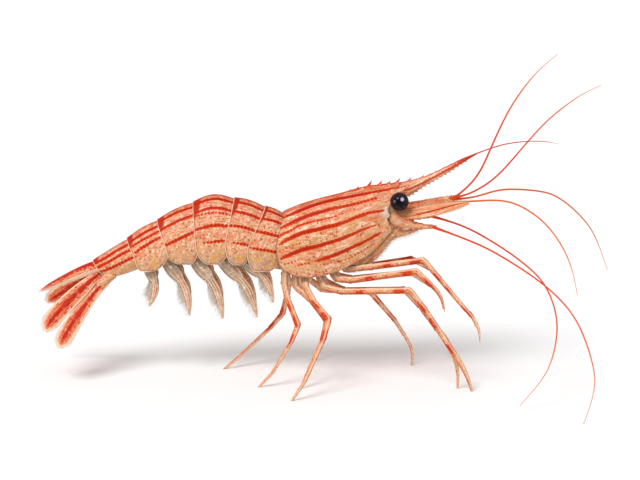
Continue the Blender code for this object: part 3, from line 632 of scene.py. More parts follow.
def shell_material(name, colours, lengths, dots=0.4, streaks=0.85, lines=0.96, patch=None, blush=None,
                   blotch=0.0, bloom=0.0):
    """Glossy chitin in three ground colours from the back down. lengths are the plate's length
    and girth and how far its marks are drawn out; dots is the share of the dots that show. The
    rest say how strong each kind of mark is, what the pale patch is, and between which shares
    of the length a blush sets in towards the front."""
    made, tree, shader = principled(name, 0.3, 0.05)
    spot, along, down = flow(tree, *lengths)
    back, flank, low = colours
    ground = tint(tree, ramp(tree, down, 0.05, 0.45), back, flank)
    ground = tint(tree, ramp(tree, down, 0.55, 0.95), ground, low)
    look = use_group(tree, SURFACE, {
        "Spot": spot, "Ground": ground, "Pale": SHELL_PALE, "Warm": SHELL_WARM, "Cool": SHELL_COOL,
        "Dot": SHELL_DOT, "Mottling": 0.85, "Dots": dots, "Dot size": 0.3, "Dot spacing": 0.95,
        "Relief": 0.45})
    colour = shell_streaks(tree, look, spot, down, streaks)
    if bloom:
        colour = shell_bloom(tree, colour, down, bloom)
    if blush:
        colour = lay(tree, colour, ramp(tree, along, *blush), 0.7, BLUSH)
    if blotch:
        colour = shell_blotch(tree, look, colour, along, down, blotch)
    if patch:
        colour = shell_patch(tree, look, colour, along, down, patch)
    colour = shell_lines(tree, look, colour, lines)
    tree.links.new(ramp(tree, look["Uneven"], -0.4, 2.0), shader.inputs["Roughness"])
    finish_look(tree, shader, colour, look["Normal"])
    return made


carapace_look = shell_material(
    "shell_carapace", (rgb(216, 126, 78), rgb(238, 174, 130), rgb(220, 178, 132)), (31, 44, 2.5),
    dots=0.5, patch=((0.965, 0.45, 0.045), rgb(214, 214, 210)))
work = bmesh.new()
made = sheet(work, carapace_point, 110, 200)
bmesh.ops.recalc_face_normals(work, faces=work.faces)
rim_corner = place(RIM_BEHIND, 0.0, RIM_TOP)
border = [spot for spot in border_points(work) if spot.z < rim_corner.z or spot.x < rim_corner.x]
thicken(work, made, border)
carapace = finish("carapace", work, carapace_look, "shell", "carapace")
paint_lines(carapace, line_samples(carapace_point, CARAPACE_LINES))
paint_rim(carapace, border)

rostrum_look = shell_material(
    "shell_rostrum", (rgb(224, 136, 100), rgb(248, 206, 168), rgb(238, 174, 134)), (59, 9, 2.5),
    dots=0.1, streaks=0.4, lines=0.88, blush=(0.42, 0.58))

SEAM_WIDTH = 0.0005         # points of a seam closer than this are joined


def close_tube(work, made):
    """Joins the seam of a rolled grid and closes its ends."""
    bmesh.ops.remove_doubles(work, verts=made, dist=SEAM_WIDTH * MM)
    bmesh.ops.holes_fill(work, edges=[edge for edge in work.edges if edge.is_boundary])
    bmesh.ops.recalc_face_normals(work, faces=work.faces)


work = bmesh.new()
close_tube(work, sheet(work, rostrum_point, 520, 24))
rostrum = finish("rostrum", work, rostrum_look, "shell", "rostrum")


def blade_line_point(x, down):
    """A point on the blade's side, x along it and its share down the blade. A line near an edge
    lies on the blade's middle, so that it shows on both sides."""
    if x > ROSTRUM[-1][0]:
        middle_x, z = smooth(WHIP, (x - ROSTRUM[-1][0]) / (WHIP[-1][0] - ROSTRUM[-1][0]))
        return middle_x, 0.0, z
    upper, lower, thick = rostrum_section(x)
    side = thick * (1 - BLADE_THINNING * (2 * down - 1) ** 2) if 0.2 < down < 0.8 else 0.0
    return x, side, mix(upper, lower, down)


def tooth_line(tip, height):
    """The red of one upper tooth, from the blade's edge into its tip."""
    upper, lower, _ = rostrum_section(tip)
    rise = height / (upper - lower)
    return 0.0, ((tip - 1.6, 0.04, 0.2), (tip - 0.9, -0.3 * rise, 0.25), (tip - 0.2, -0.9 * rise, 0.25))


teeth = line_samples(blade_line_point, [tooth_line(*each) for each in UPPER_TEETH], 12)
paint_lines(rostrum, line_samples(blade_line_point, ROSTRUM_LINES, 400) + teeth)
paint_even(rostrum, "rim", FAR)


# ---------------------------------------------------------------------------------------------
# Plates of the abdomen. Five hoops of the same chitin, each sliding under the one ahead of it
# and drawn down at the sides into a lobe, and a sixth longer one that is a closed tube.

# A hinge line between two plates: its ends at the back and on the flank, and its half width.
Hinge = namedtuple("Hinge", "back_x back_z flank_x flank_z half_width")
HINGES = (
    Hinge(1.1, 46.6, -0.9, 39.0, 6.7),
    Hinge(-4.1, 48.5, -9.1, 37.8, 7.1),
    Hinge(-12.7, 50.9, -15.2, 39.6, 6.9),
    Hinge(-24.2, 49.7, -23.4, 39.4, 6.3),
    Hinge(-34.3, 44.6, -31.7, 37.8, 5.3),
    Hinge(-42.9, 39.3, -40.3, 33.8, 4.1),
)
# The lobe at each plate's lower edge: its front and rear corner, and its height.
LOBES = ((-3.3, -6.6, 31.1), (-10.9, -12.6, 33.0), (-17.8, -19.5, 33.0), (-25.7, -27.6, 32.8),
         (-36.6, -38.6, 30.6))
HUMPS = (0.3, 0.6, 1.6, 0.6, 0.5)       # how far each back bows up between its hinges
HINGE_GAP, STEP_IN = 0.2, 0.3           # a plate starts this far behind its hinge and this far in
SIDE_SWELL = 0.25                       # how far its sides bow out
UNDERLAP = 0.16             # share of a plate's length that slides under the plate ahead
UNDER_DROP, UNDER_IN = 0.35, 0.3        # how far that part lies lower and further in
# Rows of the closed sixth plate: back x and z, underside x and z, half width.
LAST_SOMITE = ((-41.0, 39.6, -37.8, 31.2, 3.7), (-44.6, 37.9, -41.8, 29.6, 3.75),
               (-48.8, 35.3, -45.6, 28.4, 3.35), (-52.6, 32.9, -49.0, 28.0, 2.6))
LAST_SOMITE_FULLNESS = 0.85             # under 1 its sides are fuller than an oval's
# Red lines of each plate, written like the carapace's.
SOMITE_LINES = (
    ((0.1, ((0.0, 0.0, 0.35), (0.5, 0.0, 0.4), (1.0, 0.0, 0.35))),
     (0.1, ((0.0, 0.12, 0.3), (0.5, 0.11, 0.38), (1.0, 0.11, 0.3))),
     (0.2, ((0.0, 0.235, 0.3), (0.5, 0.225, 0.34), (1.0, 0.22, 0.28))),
     (0.55, ((0.0, 0.41, 0.35), (0.5, 0.37, 0.38), (1.0, 0.345, 0.32))),
     (0.85, ((0.05, 0.6, 0.35), (0.5, 0.54, 0.35), (0.9, 0.49, 0.26)))),
    ((0.1, ((0.0, 0.0, 0.35), (0.5, 0.0, 0.4), (1.0, 0.0, 0.4))),
     (0.1, ((0.0, 0.11, 0.3), (0.5, 0.11, 0.36), (1.0, 0.11, 0.3))),
     (0.2, ((0.0, 0.22, 0.28), (0.5, 0.225, 0.34), (1.0, 0.23, 0.28))),
     (0.55, ((0.0, 0.34, 0.32), (0.5, 0.345, 0.38), (1.0, 0.36, 0.29))),
     (0.85, ((0.0, 0.465, 0.32), (0.34, 0.47, 0.35), (0.68, 0.48, 0.21)))),
    ((0.1, ((0.0, 0.0, 0.4), (0.5, 0.0, 0.4), (1.0, 0.0, 0.4))),
     (0.1, ((0.0, 0.11, 0.32), (0.5, 0.11, 0.38), (1.0, 0.12, 0.3))),
     (0.2, ((0.0, 0.22, 0.28), (0.5, 0.22, 0.34), (1.0, 0.23, 0.28))),
     (1.0, ((0.05, 0.265, 0.2), (0.5, 0.265, 0.24), (0.95, 0.27, 0.2))),
     (0.55, ((0.0, 0.36, 0.32), (0.5, 0.37, 0.38), (1.0, 0.39, 0.29))),
     (0.85, ((0.1, 0.485, 0.32), (0.4, 0.49, 0.35), (0.75, 0.5, 0.21)))),
    ((0.1, ((0.0, 0.0, 0.4), (0.5, 0.0, 0.4), (1.0, 0.0, 0.4))),
     (0.1, ((0.0, 0.12, 0.32), (0.5, 0.125, 0.38), (1.0, 0.13, 0.3))),
     (0.2, ((0.0, 0.23, 0.28), (0.5, 0.25, 0.34), (1.0, 0.27, 0.28))),
     (0.55, ((0.0, 0.395, 0.32), (0.5, 0.43, 0.38), (1.0, 0.475, 0.29)))),
    ((0.1, ((0.0, 0.0, 0.4), (0.5, 0.0, 0.45), (1.0, 0.0, 0.4))),
     (0.1, ((0.0, 0.17, 0.3), (0.5, 0.185, 0.36), (1.0, 0.205, 0.3))),
     (0.3, ((0.0, 0.26, 0.26), (0.5, 0.28, 0.3), (1.0, 0.29, 0.24))),
     (0.5, ((0.18, 0.355, 0.3), (0.55, 0.37, 0.36), (0.92, 0.395, 0.27)))),
)
LAST_SOMITE_LINES = (
    (0.1, ((0.0, 0.0, 0.4), (0.5, 0.0, 0.4), (1.0, 0.0, 0.4))),
    (0.15, ((0.0, 0.2, 0.3), (0.5, 0.22, 0.36), (1.0, 0.25, 0.3))),
    (0.3, ((0.0, 0.34, 0.3), (0.5, 0.36, 0.34), (1.0, 0.4, 0.28))),
    (0.9, ((0.0, 0.5, 0.32), (0.5, 0.52, 0.35), (1.0, 0.55, 0.29))),
)


def somite_point(number):
    """The shape of one plate of the abdomen, u from its front to its rear."""
    ahead, behind = HINGES[number], HINGES[number + 1]
    front_x, rear_x, edge_z = LOBES[number]
    slope = Vector((behind.back_x - ahead.back_x, behind.back_z - ahead.back_z)).normalized()
    front = Line(ahead.back_x + HINGE_GAP * slope.x, ahead.back_z + HINGE_GAP * slope.y - STEP_IN,
                 ahead.flank_x - HINGE_GAP, ahead.flank_z, front_x, edge_z,
                 ahead.half_width - STEP_IN)
    rear = Line(behind.back_x, behind.back_z, behind.flank_x, behind.flank_z, rear_x, edge_z,
                behind.half_width)

    def point(u, s):
        t = mix(-UNDERLAP, 1.0, u)
        under = ease(-t / UNDERLAP)
        line = Line(*(mix(a, b, t) for a, b in zip(front, rear)))
        swell = math.sin(math.pi * max(t, 0.0))
        line = line._replace(
            back_z=line.back_z + HUMPS[number] * swell - UNDER_DROP * under,
            half_width=line.half_width + SIDE_SWELL * swell - UNDER_IN * under)
        return plate_point(line, s)

    return point


def last_somite_point(u, s):
    """A point of the sixth plate, s once round it from its underside."""
    back_x, back_z, under_x, under_z, half = smooth(LAST_SOMITE, u)
    turn = math.pi * abs(s)
    side = -1 if s > 0 else 1
    up = (1 + math.cos(turn)) / 2
    return (mix(under_x, back_x, up), side * half * math.sin(turn) ** LAST_SOMITE_FULLNESS,
            mix(under_z, back_z, up))


abdomen_look = shell_material(
    "shell_abdomen", (rgb(236, 148, 110), rgb(238, 172, 136), rgb(224, 174, 130)), (9, 40, 1.0),
    dots=0.9, blotch=0.92, bloom=0.5)
for number in range(len(LOBES)):
    point = somite_point(number)
    work = bmesh.new()
    made = sheet(work, point, 40, 150)
    bmesh.ops.recalc_face_normals(work, faces=work.faces)
    border = border_points(work)
    thicken(work, made, border)
    plate = finish(f"abdomen_{number + 1}", work, abdomen_look, "shell", f"abdomen_{number + 1}")
    paint_lines(plate, line_samples(point, SOMITE_LINES[number]))
    paint_rim(plate, border)

work = bmesh.new()
close_tube(work, sheet(work, last_somite_point, 44, 96))
border = [place(*last_somite_point(1.0, k / 60)) for k in range(-60, 61)]
plate = finish("abdomen_6", work, abdomen_look, "shell", "abdomen_6")
paint_lines(plate, line_samples(last_somite_point, LAST_SOMITE_LINES))
paint_rim(plate, border)


# ---------------------------------------------------------------------------------------------
# Tail fan. A tapering, keeled telson of chitin and two pairs of thin oval blades beside it, each
# with a stiff midrib and a pale margin. The outer blades bend at a cross seam near their ends.

# Rows of (x, y, z, width, thickness), and for a blade the way across it.
TELSON = ((-51.2, 0.0, 31.4, 4.6, 4.2), (-54.6, 0.0, 30.2, 4.7, 3.9), (-58.4, 0.0, 28.6, 4.4, 3.3),
          (-62.5, 0.0, 26.6, 4.0, 2.6), (-65.6, 0.0, 25.0, 3.5, 1.9), (-67.9, 0.0, 23.8, 2.8, 1.2))
ENDOPOD = {
    "right": (((-50.9, -1.5, 29.1, 1.8, 1.3), (-54.9, -3.3, 25.9, 4.0, 1.0), (-60.2, -5.7, 21.2, 4.9, 0.8),
               (-63.9, -7.9, 17.2, 4.5, 0.7), (-65.4, -9.1, 14.7, 2.4, 0.5)), (0.72, -0.35, -0.6)),
    "left": (((-50.9, 1.5, 29.1, 1.8, 1.3), (-54.8, 2.9, 27.2, 3.8, 1.0), (-60.4, 5.0, 23.4, 4.6, 0.8),
              (-64.6, 6.9, 20.3, 4.2, 0.7), (-67.0, 8.0, 18.4, 2.3, 0.5)), (0.55, 0.3, -0.78)),
}
EXOPOD = {
    "right": (((-48.9, -2.4, 27.1, 2.6, 1.8), (-52.3, -4.4, 23.7, 3.0, 1.1), (-56.6, -7.3, 18.3, 4.5, 0.9),
               (-59.9, -10.3, 13.3, 4.7, 0.7), (-61.1, -11.9, 10.7, 2.7, 0.5)), (0.74, -0.5, -0.46)),
    "left": (((-48.9, 2.4, 27.1, 2.6, 1.8), (-51.8, 4.4, 24.8, 3.7, 1.3), (-57.0, 7.4, 20.2, 4.5, 0.9),
              (-62.4, 9.8, 15.6, 4.5, 0.7), (-65.0, 10.8, 13.4, 2.5, 0.5)), (0.75, 0.5, -0.45)),
}
TELSON_ACROSS = (0, 1, 0)
# Rows of the left joint that carries a pair of blades.
UROPOD_BASE = ((-46.6, 1.5, 29.4, 2.6, 2.4), (-48.4, 2.1, 28.2, 3.0, 2.6), (-50.2, 2.9, 26.8, 2.8, 2.2),
               (-51.4, 3.4, 25.8, 1.6, 1.4))
UROPOD_BASE_ACROSS = (0.7, 0.0, -0.7)
FAN_ROUND = 0.3                     # the blades' ends are rounded over this share
END_CURVE = (1.8, 0.65)             # how late and how bluntly an end rounds off
MIDRIB, RIB_WIDTH = 0.45, 0.28      # height in mm, and half width as a share of the blade's half
LENS_THINNING = 0.35                # how much a blade thins towards its edges, besides its oval
SEAM_AT, SEAM_DEPTH, SEAM_SPREAD = 0.74, 0.16, 0.012    # cross seam of an outer blade
TELSON_ROOF, TELSON_FLOOR = 0.75, 0.7   # flattening of its back beside the keel, and below

# A route's places, with the way along it, the way across it and the sizes at each.
Track = namedtuple("Track", "places alongs acrosses sizes")


def mirrored(rows, side):
    """Rows written for the left side, for either side."""
    return [(row[0], side * row[1], *row[2:]) for row in rows]


def lengths_along(places):
    """How far along a route its places lie, in millimetres."""
    spans = [(Vector(b[:3]) - Vector(a[:3])).length for a, b in zip(places, places[1:])]
    return np.concatenate(([0.0], np.cumsum(spans)))


def dense(rows, count):
    """Even steps along the straight lengths between rows, with the rows' sizes."""
    joints = lengths_along(rows)
    at = np.linspace(0.0, joints[-1], count + 1)
    return np.stack([np.interp(at, joints, column) for column in zip(*rows)], axis=1)


def rounded(table, reach):
    """Evens out the steps of a route over so many of them on either side, between fixed ends."""
    kernel = np.hanning(2 * reach + 3)[1:-1]
    padded = np.concatenate((table[:1].repeat(reach, 0), table, table[-1:].repeat(reach, 0)))
    soft = np.stack([np.convolve(column, kernel / kernel.sum(), "valid") for column in padded.T], axis=1)
    soft[0], soft[-1] = table[0], table[-1]
    return soft


def track(rows, count, across, corner=0.0):
    """Even steps along a route of (x, y, z, sizes...). A corner above 0 keeps straight lengths
    between the rows and rounds their corners over that many millimetres; 0 is one smooth curve."""
    if corner:
        fine = 6        # the table is so many times finer than the track
        table = dense(rows, fine * count)
        step = lengths_along(rows)[-1] / (fine * count)
        table = rounded(table, max(1, round(corner / step)))[::fine]
    else:
        table = np.array([smooth(rows, k / count) for k in range(count + 1)])
    places = [Vector(row[:3]) for row in table]
    alongs = [(places[min(k + 1, count)] - places[max(k - 1, 0)]).normalized() for k in range(count + 1)]
    acrosses = []
    turned = Vector(across)
    for along in alongs:
        turned = (turned - along * along.dot(turned)).normalized()
        acrosses.append(turned)
    return Track(places, alongs, acrosses, [tuple(row[3:]) for row in table])


def tube(work, route, sides, section, lie=whole_map):
    """A closed skin round a track. section(share along, turn, sizes) gives the two offsets."""
    count = len(route.places) - 1

    def point(u, s):
        k = round(u * count)
        turn = math.pi * (s + 1)
        out, up = section(k / count, turn, route.sizes[k])
        across, along = route.acrosses[k], route.alongs[k]
        return route.places[k] + across * out + along.cross(across) * up

    close_tube(work, sheet(work, point, count, sides, lie))


def round_end(share, part):
    """Narrows a blade to a point over its last part, like the end of an oval."""
    past = min(1.0, max(0.0, (share - 1 + part) / part))
    lateness, bluntness = END_CURVE
    return (1 - past ** lateness) ** bluntness + POINT


def fan_section(seam):
    """A lens with a midrib on both faces, and for outer blades a seam across it."""
    def section(share, turn, sizes):
        width, thick = sizes
        width *= round_end(share, FAN_ROUND)
        out = math.cos(turn)
        up = math.sin(turn) * (1 - LENS_THINNING * abs(out))
        rib = MIDRIB * (1 - share) * bell(out, RIB_WIDTH)
        cut = SEAM_DEPTH * bell(share - SEAM_AT, SEAM_SPREAD) if seam else 0.0
        return width / 2 * out, (thick / 2 + rib - cut) * up
    return section


def telson_section(share, turn, sizes):
    """A low roof with a keel along its top, rounded towards its end."""
    width, thick = (size * round_end(share, FAN_ROUND) for size in sizes)
    out, up = math.cos(turn), math.sin(turn)
    flat = mix(TELSON_ROOF, 1.0, abs(up)) if up > 0 else TELSON_FLOOR
    return width / 2 * out, thick / 2 * up * flat


def fan_material(name, keeled=False):
    """Thin chitin: a deep red streak down the middle, orange beside it, and a pale margin with a
    dark edge. On the keeled telson the streak runs along its ridge."""
    made, tree, shader = principled(name, 0.36, 0.15)
    along, across = flat_map(tree)
    turn = times(tree, across, math.tau)
    if keeled:
        out = calc(tree, "MULTIPLY_ADD", calc(tree, "SINE", turn), 0.7, 0.7)
        out = calc(tree, "MINIMUM", out, 0.9)
    else:
        out = calc(tree, "ABSOLUTE", calc(tree, "COSINE", turn))
    spot = spot_at(tree, times(tree, along, 12.0), times(tree, out, 4.0))
    look = use_group(tree, SURFACE, {
        "Spot": spot, "Ground": rgb(234, 146, 106), "Pale": rgb(248, 202, 170),
        "Warm": rgb(214, 84, 44), "Cool": rgb(230, 160, 116), "Dot": rgb(140, 26, 12),
        "Mottling": 0.85, "Dots": 0.8, "Dot size": 0.28, "Dot spacing": 0.85, "Relief": 0.5})
    ragged = calc(tree, "SUBTRACT", noise(tree, spot, 1.3, 4.0, 0.7), 0.5)
    streak = ramp(tree, calc(tree, "ADD", out, times(tree, ragged, 1.7)), 0.5, 0.2)
    streak = times(tree, streak, ramp(tree, along, 0.93, 0.78))
    colour = lay(tree, look["Color"], streak, 0.94, rgb(190, 22, 2))
    tip = times(tree, ramp(tree, along, 0.84, 0.96), 0.8)
    margin = ramp(tree, calc(tree, "ADD", out, tip), 0.76, 0.86)
    colour = lay(tree, colour, margin, 0.88, rgb(252, 220, 190))
    colour = lay(tree, colour, ramp(tree, out, 0.965, 0.985), 0.8, rgb(140, 60, 34))
    finish_look(tree, shader, colour, look["Normal"])
    return made


fan_look = fan_material("shell_fan")
work = bmesh.new()
tube(work, track(TELSON, 90, TELSON_ACROSS), 40, telson_section)
finish("telson", work, fan_material("shell_telson", keeled=True), "shell", "telson")
for word, side in SIDES.items():
    work = bmesh.new()
    tube(work, track(mirrored(UROPOD_BASE, side), 40, UROPOD_BASE_ACROSS), 28, telson_section)
    base = finish(f"uropod_base_{word}", work, abdomen_look, "shell")
    paint_even(base, "line", FAR)
    paint_even(base, "rim", FAR)
for pair, blades, seam in (("inner", ENDOPOD, False), ("outer", EXOPOD, True)):
    for word, (rows, across) in blades.items():
        work = bmesh.new()
        tube(work, track(rows, 90, across), 40, fan_section(seam))
        finish(f"uropod_{pair}_{word}", work, fan_look, "shell", f"uropod_{pair}_{word}")


# ---------------------------------------------------------------------------------------------
# Flesh. One soft skin over the body inside the shells: the head's front plate with the mouth
# under it, the breast between the legs, and the muscle seen between the lobes of the abdomen.

# Rows of (x, half width, lower z, upper z) from the last somite to the face.
FLESH = ((-46.0, 2.2, 29.6, 35.0), (-40.5, 3.2, 30.6, 38.0), (-32.5, 4.4, 31.9, 42.0),
         (-24.0, 5.4, 32.3, 46.0), (-15.5, 5.9, 32.3, 47.0), (-8.5, 6.0, 31.6, 45.5),
         (-2.0, 5.6, 30.6, 43.0), (3.0, 4.8, 30.0, 44.0), (9.0, 4.9, 30.2, 46.0),
         (14.5, 4.8, 31.0, 48.0), (19.0, 4.0, 31.6, 49.5), (23.0, 3.6, 32.8, 51.0),
         (26.5, 3.7, 35.2, 52.0), (29.2, 4.1, 38.2, 52.4), (31.2, 4.0, 41.8, 51.8),
         (32.4, 2.6, 43.9, 50.2))
FACE_FROM = 0.81            # the skin is pale from this share along it


def flesh_material():
    """Dull yellow-brown skin, paler on the face."""
    made, tree, shader = principled("flesh", 0.45, 0.3)
    look = use_group(tree, SURFACE, {
        "Spot": millimetres(tree), "Ground": rgb(206, 150, 92), "Pale": rgb(228, 190, 140),
        "Warm": rgb(190, 112, 52), "Cool": rgb(150, 126, 100), "Dot": rgb(120, 60, 30),
        "Mottling": 0.9, "Dots": 0.4, "Dot size": 0.3, "Dot spacing": 1.0, "Relief": 0.9})
    along, _ = flat_map(tree)
    face = ramp(tree, along, FACE_FROM, FACE_FROM + 0.03)
    finish_look(tree, shader, lay(tree, look["Color"], face, 0.85, rgb(236, 196, 164)), look["Normal"])
    return made


def flesh_point(u, s):
    """A point of the skin, s once round it from its underside."""
    x, half, low_z, high_z = smooth(FLESH, u)
    turn = math.pi * s
    return x, -half * math.sin(turn), mix(low_z, high_z, (1 + math.cos(turn)) / 2)


work = bmesh.new()
close_tube(work, sheet(work, flesh_point, 200, 48))
finish("flesh", work, flesh_material(), "flesh", "thorax_underside", "head_front", "mouthparts")


# ---------------------------------------------------------------------------------------------
# Legs. Slender jointed tubes of chitin with soft joints: the jaw feet, five pairs of walking
# legs, the second with two fingers, the jointed bases of the feelers, and the eyes' stalks.
# Toes that stand on the floor are cut flat there.

# Rows of (x, y, z, width) from the hip to the tip. Every row between those two is a joint.
LEGS = {
    "maxilliped_right": ((18.2, -3.4, 32.1, 2.2), (18.4, -3.9, 31.1, 2.2), (21.0, -4.8, 31.7, 2.0),
                         (26.0, -6.2, 32.6, 2.0), (39.8, -11.0, 35.7, 1.9), (44.2, -13.0, 30.9, 1.4),
                         (53.0, -16.0, 20.9, 1.2), (55.2, -17.0, 14.0, 0.2)),
    "maxilliped_left": ((18.2, 3.4, 32.1, 2.2), (18.4, 3.8, 31.1, 2.2), (21.0, 4.8, 30.3, 2.0),
                        (26.0, 6.0, 29.8, 2.0), (37.4, 9.3, 30.8, 1.9), (42.7, 10.5, 27.7, 1.4),
                        (53.3, 13.0, 14.6, 1.2), (56.0, 13.0, 9.6, 0.2)),
    "pereiopod_1_right": ((14.6, -3.0, 31.1, 2.6), (14.7, -3.3, 30.0, 2.6), (16.0, -5.0, 28.7, 2.1),
                          (20.0, -7.0, 28.9, 2.0), (37.7, -14.0, 33.3, 2.0), (41.6, -15.0, 29.8, 1.4),
                          (45.5, -15.0, 22.0, 0.2)),
    "pereiopod_1_left": ((14.6, 3.0, 31.1, 2.6), (14.7, 3.3, 30.0, 2.6), (16.0, 4.8, 27.2, 2.1),
                         (20.3, 6.6, 25.7, 2.0), (37.6, 11.5, 26.2, 2.0), (43.1, 12.5, 22.2, 1.4),
                         (46.7, 12.5, 15.0, 0.2)),
    "pereiopod_2_right": ((10.8, -3.0, 30.2, 2.6), (10.9, -3.3, 29.2, 2.6), (12.4, -5.3, 26.4, 2.2),
                          (17.6, -8.0, 25.9, 2.0), (35.8, -16.2, 28.5, 2.0), (40.1, -17.0, 23.1, 1.7),
                          (48.2, -17.2, 10.6, 1.8), (53.3, -17.6, -0.4, 0.6)),
    "pereiopod_2_left": ((10.8, 3.0, 30.2, 2.6), (10.9, 3.3, 29.2, 2.6), (12.6, 5.6, 25.2, 2.2),
                         (18.3, 8.6, 21.7, 2.0), (35.6, 11.4, 21.1, 2.0), (40.0, 12.0, 16.1, 1.7),
                         (45.2, 12.4, 9.0, 1.8), (50.2, 14.4, -0.4, 0.6)),
    "pereiopod_3_right": ((7.0, -2.9, 30.2, 2.3), (7.0, -3.2, 29.2, 2.3), (7.2, -6.0, 26.8, 2.1),
                          (9.4, -10.2, 23.7, 1.9), (13.6, -17.0, 20.4, 2.0), (12.2, -20.0, 15.6, 1.4),
                          (7.0, -24.5, 4.9, 1.1), (3.2, -26.2, -0.4, 0.6)),
    "pereiopod_3_left": ((7.0, 2.9, 30.2, 2.3), (7.1, 3.1, 29.2, 2.3), (8.4, 3.5, 26.2, 2.1),
                         (12.0, 3.4, 23.4, 2.0), (25.4, 4.9, 22.4, 2.0), (32.6, 6.6, 13.4, 1.4),
                         (35.3, 7.0, 9.0, 1.1), (37.5, 6.4, -0.4, 0.6)),
    "pereiopod_4_right": ((4.2, -2.9, 30.2, 2.3), (4.2, -3.1, 29.2, 2.3), (4.4, -4.1, 26.2, 2.0),
                          (8.7, -6.3, 23.0, 1.9), (13.1, -9.2, 17.9, 1.9), (11.7, -10.5, 12.4, 1.3),
                          (8.0, -13.5, 4.8, 1.0), (5.6, -15.4, -0.4, 0.6)),
    "pereiopod_4_left": ((4.2, 2.9, 30.2, 2.3), (4.2, 3.1, 29.2, 2.3), (5.8, 4.4, 24.8, 2.1),
                         (8.9, 7.2, 19.2, 1.9), (13.2, 11.0, 11.9, 1.9), (12.0, 11.5, 6.6, 1.3),
                         (9.6, 10.6, -0.4, 0.6)),
    "pereiopod_5_right": ((1.4, -2.9, 30.2, 2.3), (1.3, -3.2, 29.2, 2.3), (1.2, -5.0, 27.2, 2.1),
                          (2.2, -7.6, 23.6, 1.9), (5.1, -11.0, 17.0, 1.9), (3.2, -12.0, 12.5, 1.3),
                          (-2.1, -13.3, 3.8, 1.0), (-6.2, -14.0, -0.4, 0.6)),
    "pereiopod_5_left": ((1.4, 2.9, 30.2, 2.3), (1.4, 3.1, 29.2, 2.3), (2.4, 4.2, 25.4, 2.1),
                         (1.7, 5.2, 20.4, 1.9), (0.4, 6.0, 15.4, 1.8), (-3.2, 5.9, 11.2, 1.3),
                         (-11.4, 4.6, 3.6, 1.0), (-16.6, 2.8, -0.4, 0.6)),
}
# The second finger of the legs that have one.
FINGERS = {
    "pereiopod_2_right": ((47.6, -17.1, 11.4, 1.3), (49.4, -14.9, -0.4, 0.6)),
    "pereiopod_2_left": ((44.7, 12.3, 9.7, 1.3), (50.6, 11.2, -0.4, 0.6)),
}
LEG_STEP, LEG_SIDES = 0.35, 16      # length of one ring of a leg's mesh, and faces round it
LEG_CORNER = 0.5                    # a leg's bends are rounded over this length
LEG_OVAL = 0.06                     # how far a leg's section is from round
# How far the last part of a leg bows forward.
CLAW_BOWS = {"maxilliped_right": 0.7, "maxilliped_left": 0.9, "pereiopod_1_right": 1.0,
             "pereiopod_1_left": 0.9, "pereiopod_2_right": 0.6, "pereiopod_2_left": 0.7,
             "pereiopod_3_left": 1.1}
FINGER_BOW = 0.7
CLAW_TAPER, CLAW_ROWS = 1.7, 6      # how slowly a claw narrows, and the steps it is drawn in
JOINT_SWELL, JOINT_GROOVE = 0.14, 0.22  # how much a joint stands out, and the groove after it
JOINT_LENGTH = 0.7                  # half the length of a joint
GROOVE_LENGTH = 0.35                # the groove's, as a share of that
FIRST_BANDED = 3                    # the parts before this one have no red bands
BANDS = ((0.86, 1.0), (0.28, 0.85)) # share along a part, and how red; only long parts have both
BAND_LENGTH, LONG_PART = 2.4, 7.0   # half the length of a band, and how long a long part is
BAND_SPOTS = 400                    # steps along a leg in which its bands are worked out
# The last band of these legs is paler, towards the floor.
PALE_LEGS, PALE_BAND = ("pereiopod_3", "pereiopod_4", "pereiopod_5"), 0.35


def claw(rows, bow):
    """The rows with the last part drawn as a tapering claw that bows forward."""
    *near, start, end = rows
    across = Vector((start[2] - end[2], end[0] - start[0])).normalized() * bow
    bent = []
    for k in range(CLAW_ROWS + 1):
        t = k / CLAW_ROWS
        x, y, z = (mix(a, b, t) for a, b in zip(start[:3], end[:3]))
        swell = math.sin(math.pi * t)
        width = mix(start[3], end[3], t ** CLAW_TAPER)
        bent.append((x + across.x * swell, y, z + across.y * swell, width))
    return (*near, *bent)


def limb_section(rows, plain):
    """A limb's round section: waisted between its joints, swollen and grooved at them. The
    first plain rows are no joints."""
    rings = lengths_along(rows)
    joints = rings[1 + plain:-1] if len(rows) > 2 + plain else rings[-1:] + 9 * JOINT_LENGTH

    def section(share, turn, sizes):
        gap = share * rings[-1] - joints
        near = gap[np.abs(gap).argmin()]
        size = 1 + JOINT_SWELL * bell(near + 0.5 * JOINT_LENGTH, JOINT_LENGTH)
        size -= JOINT_GROOVE * bell(near - 0.3 * JOINT_LENGTH, GROOVE_LENGTH * JOINT_LENGTH)
        half = sizes[0] / 2 * size * (1 - LEG_OVAL + LEG_OVAL * math.cos(2 * turn))
        return half * math.cos(turn), half * math.sin(turn)

    return section


def limb(work, rows, across=(0, 1, 0), plain=0, bow=0.0):
    """A jointed limb along rows. Its flat map runs on by its length in decimetres, so that the
    marks have one size on every leg."""
    length = lengths_along(rows)[-1]
    route = track(claw(rows, bow), max(12, round(length / LEG_STEP)), across, LEG_CORNER)
    tube(work, route, LEG_SIDES, limb_section(rows, plain),
         lambda u, s: (u * length / 100, (s + 1) / 2))


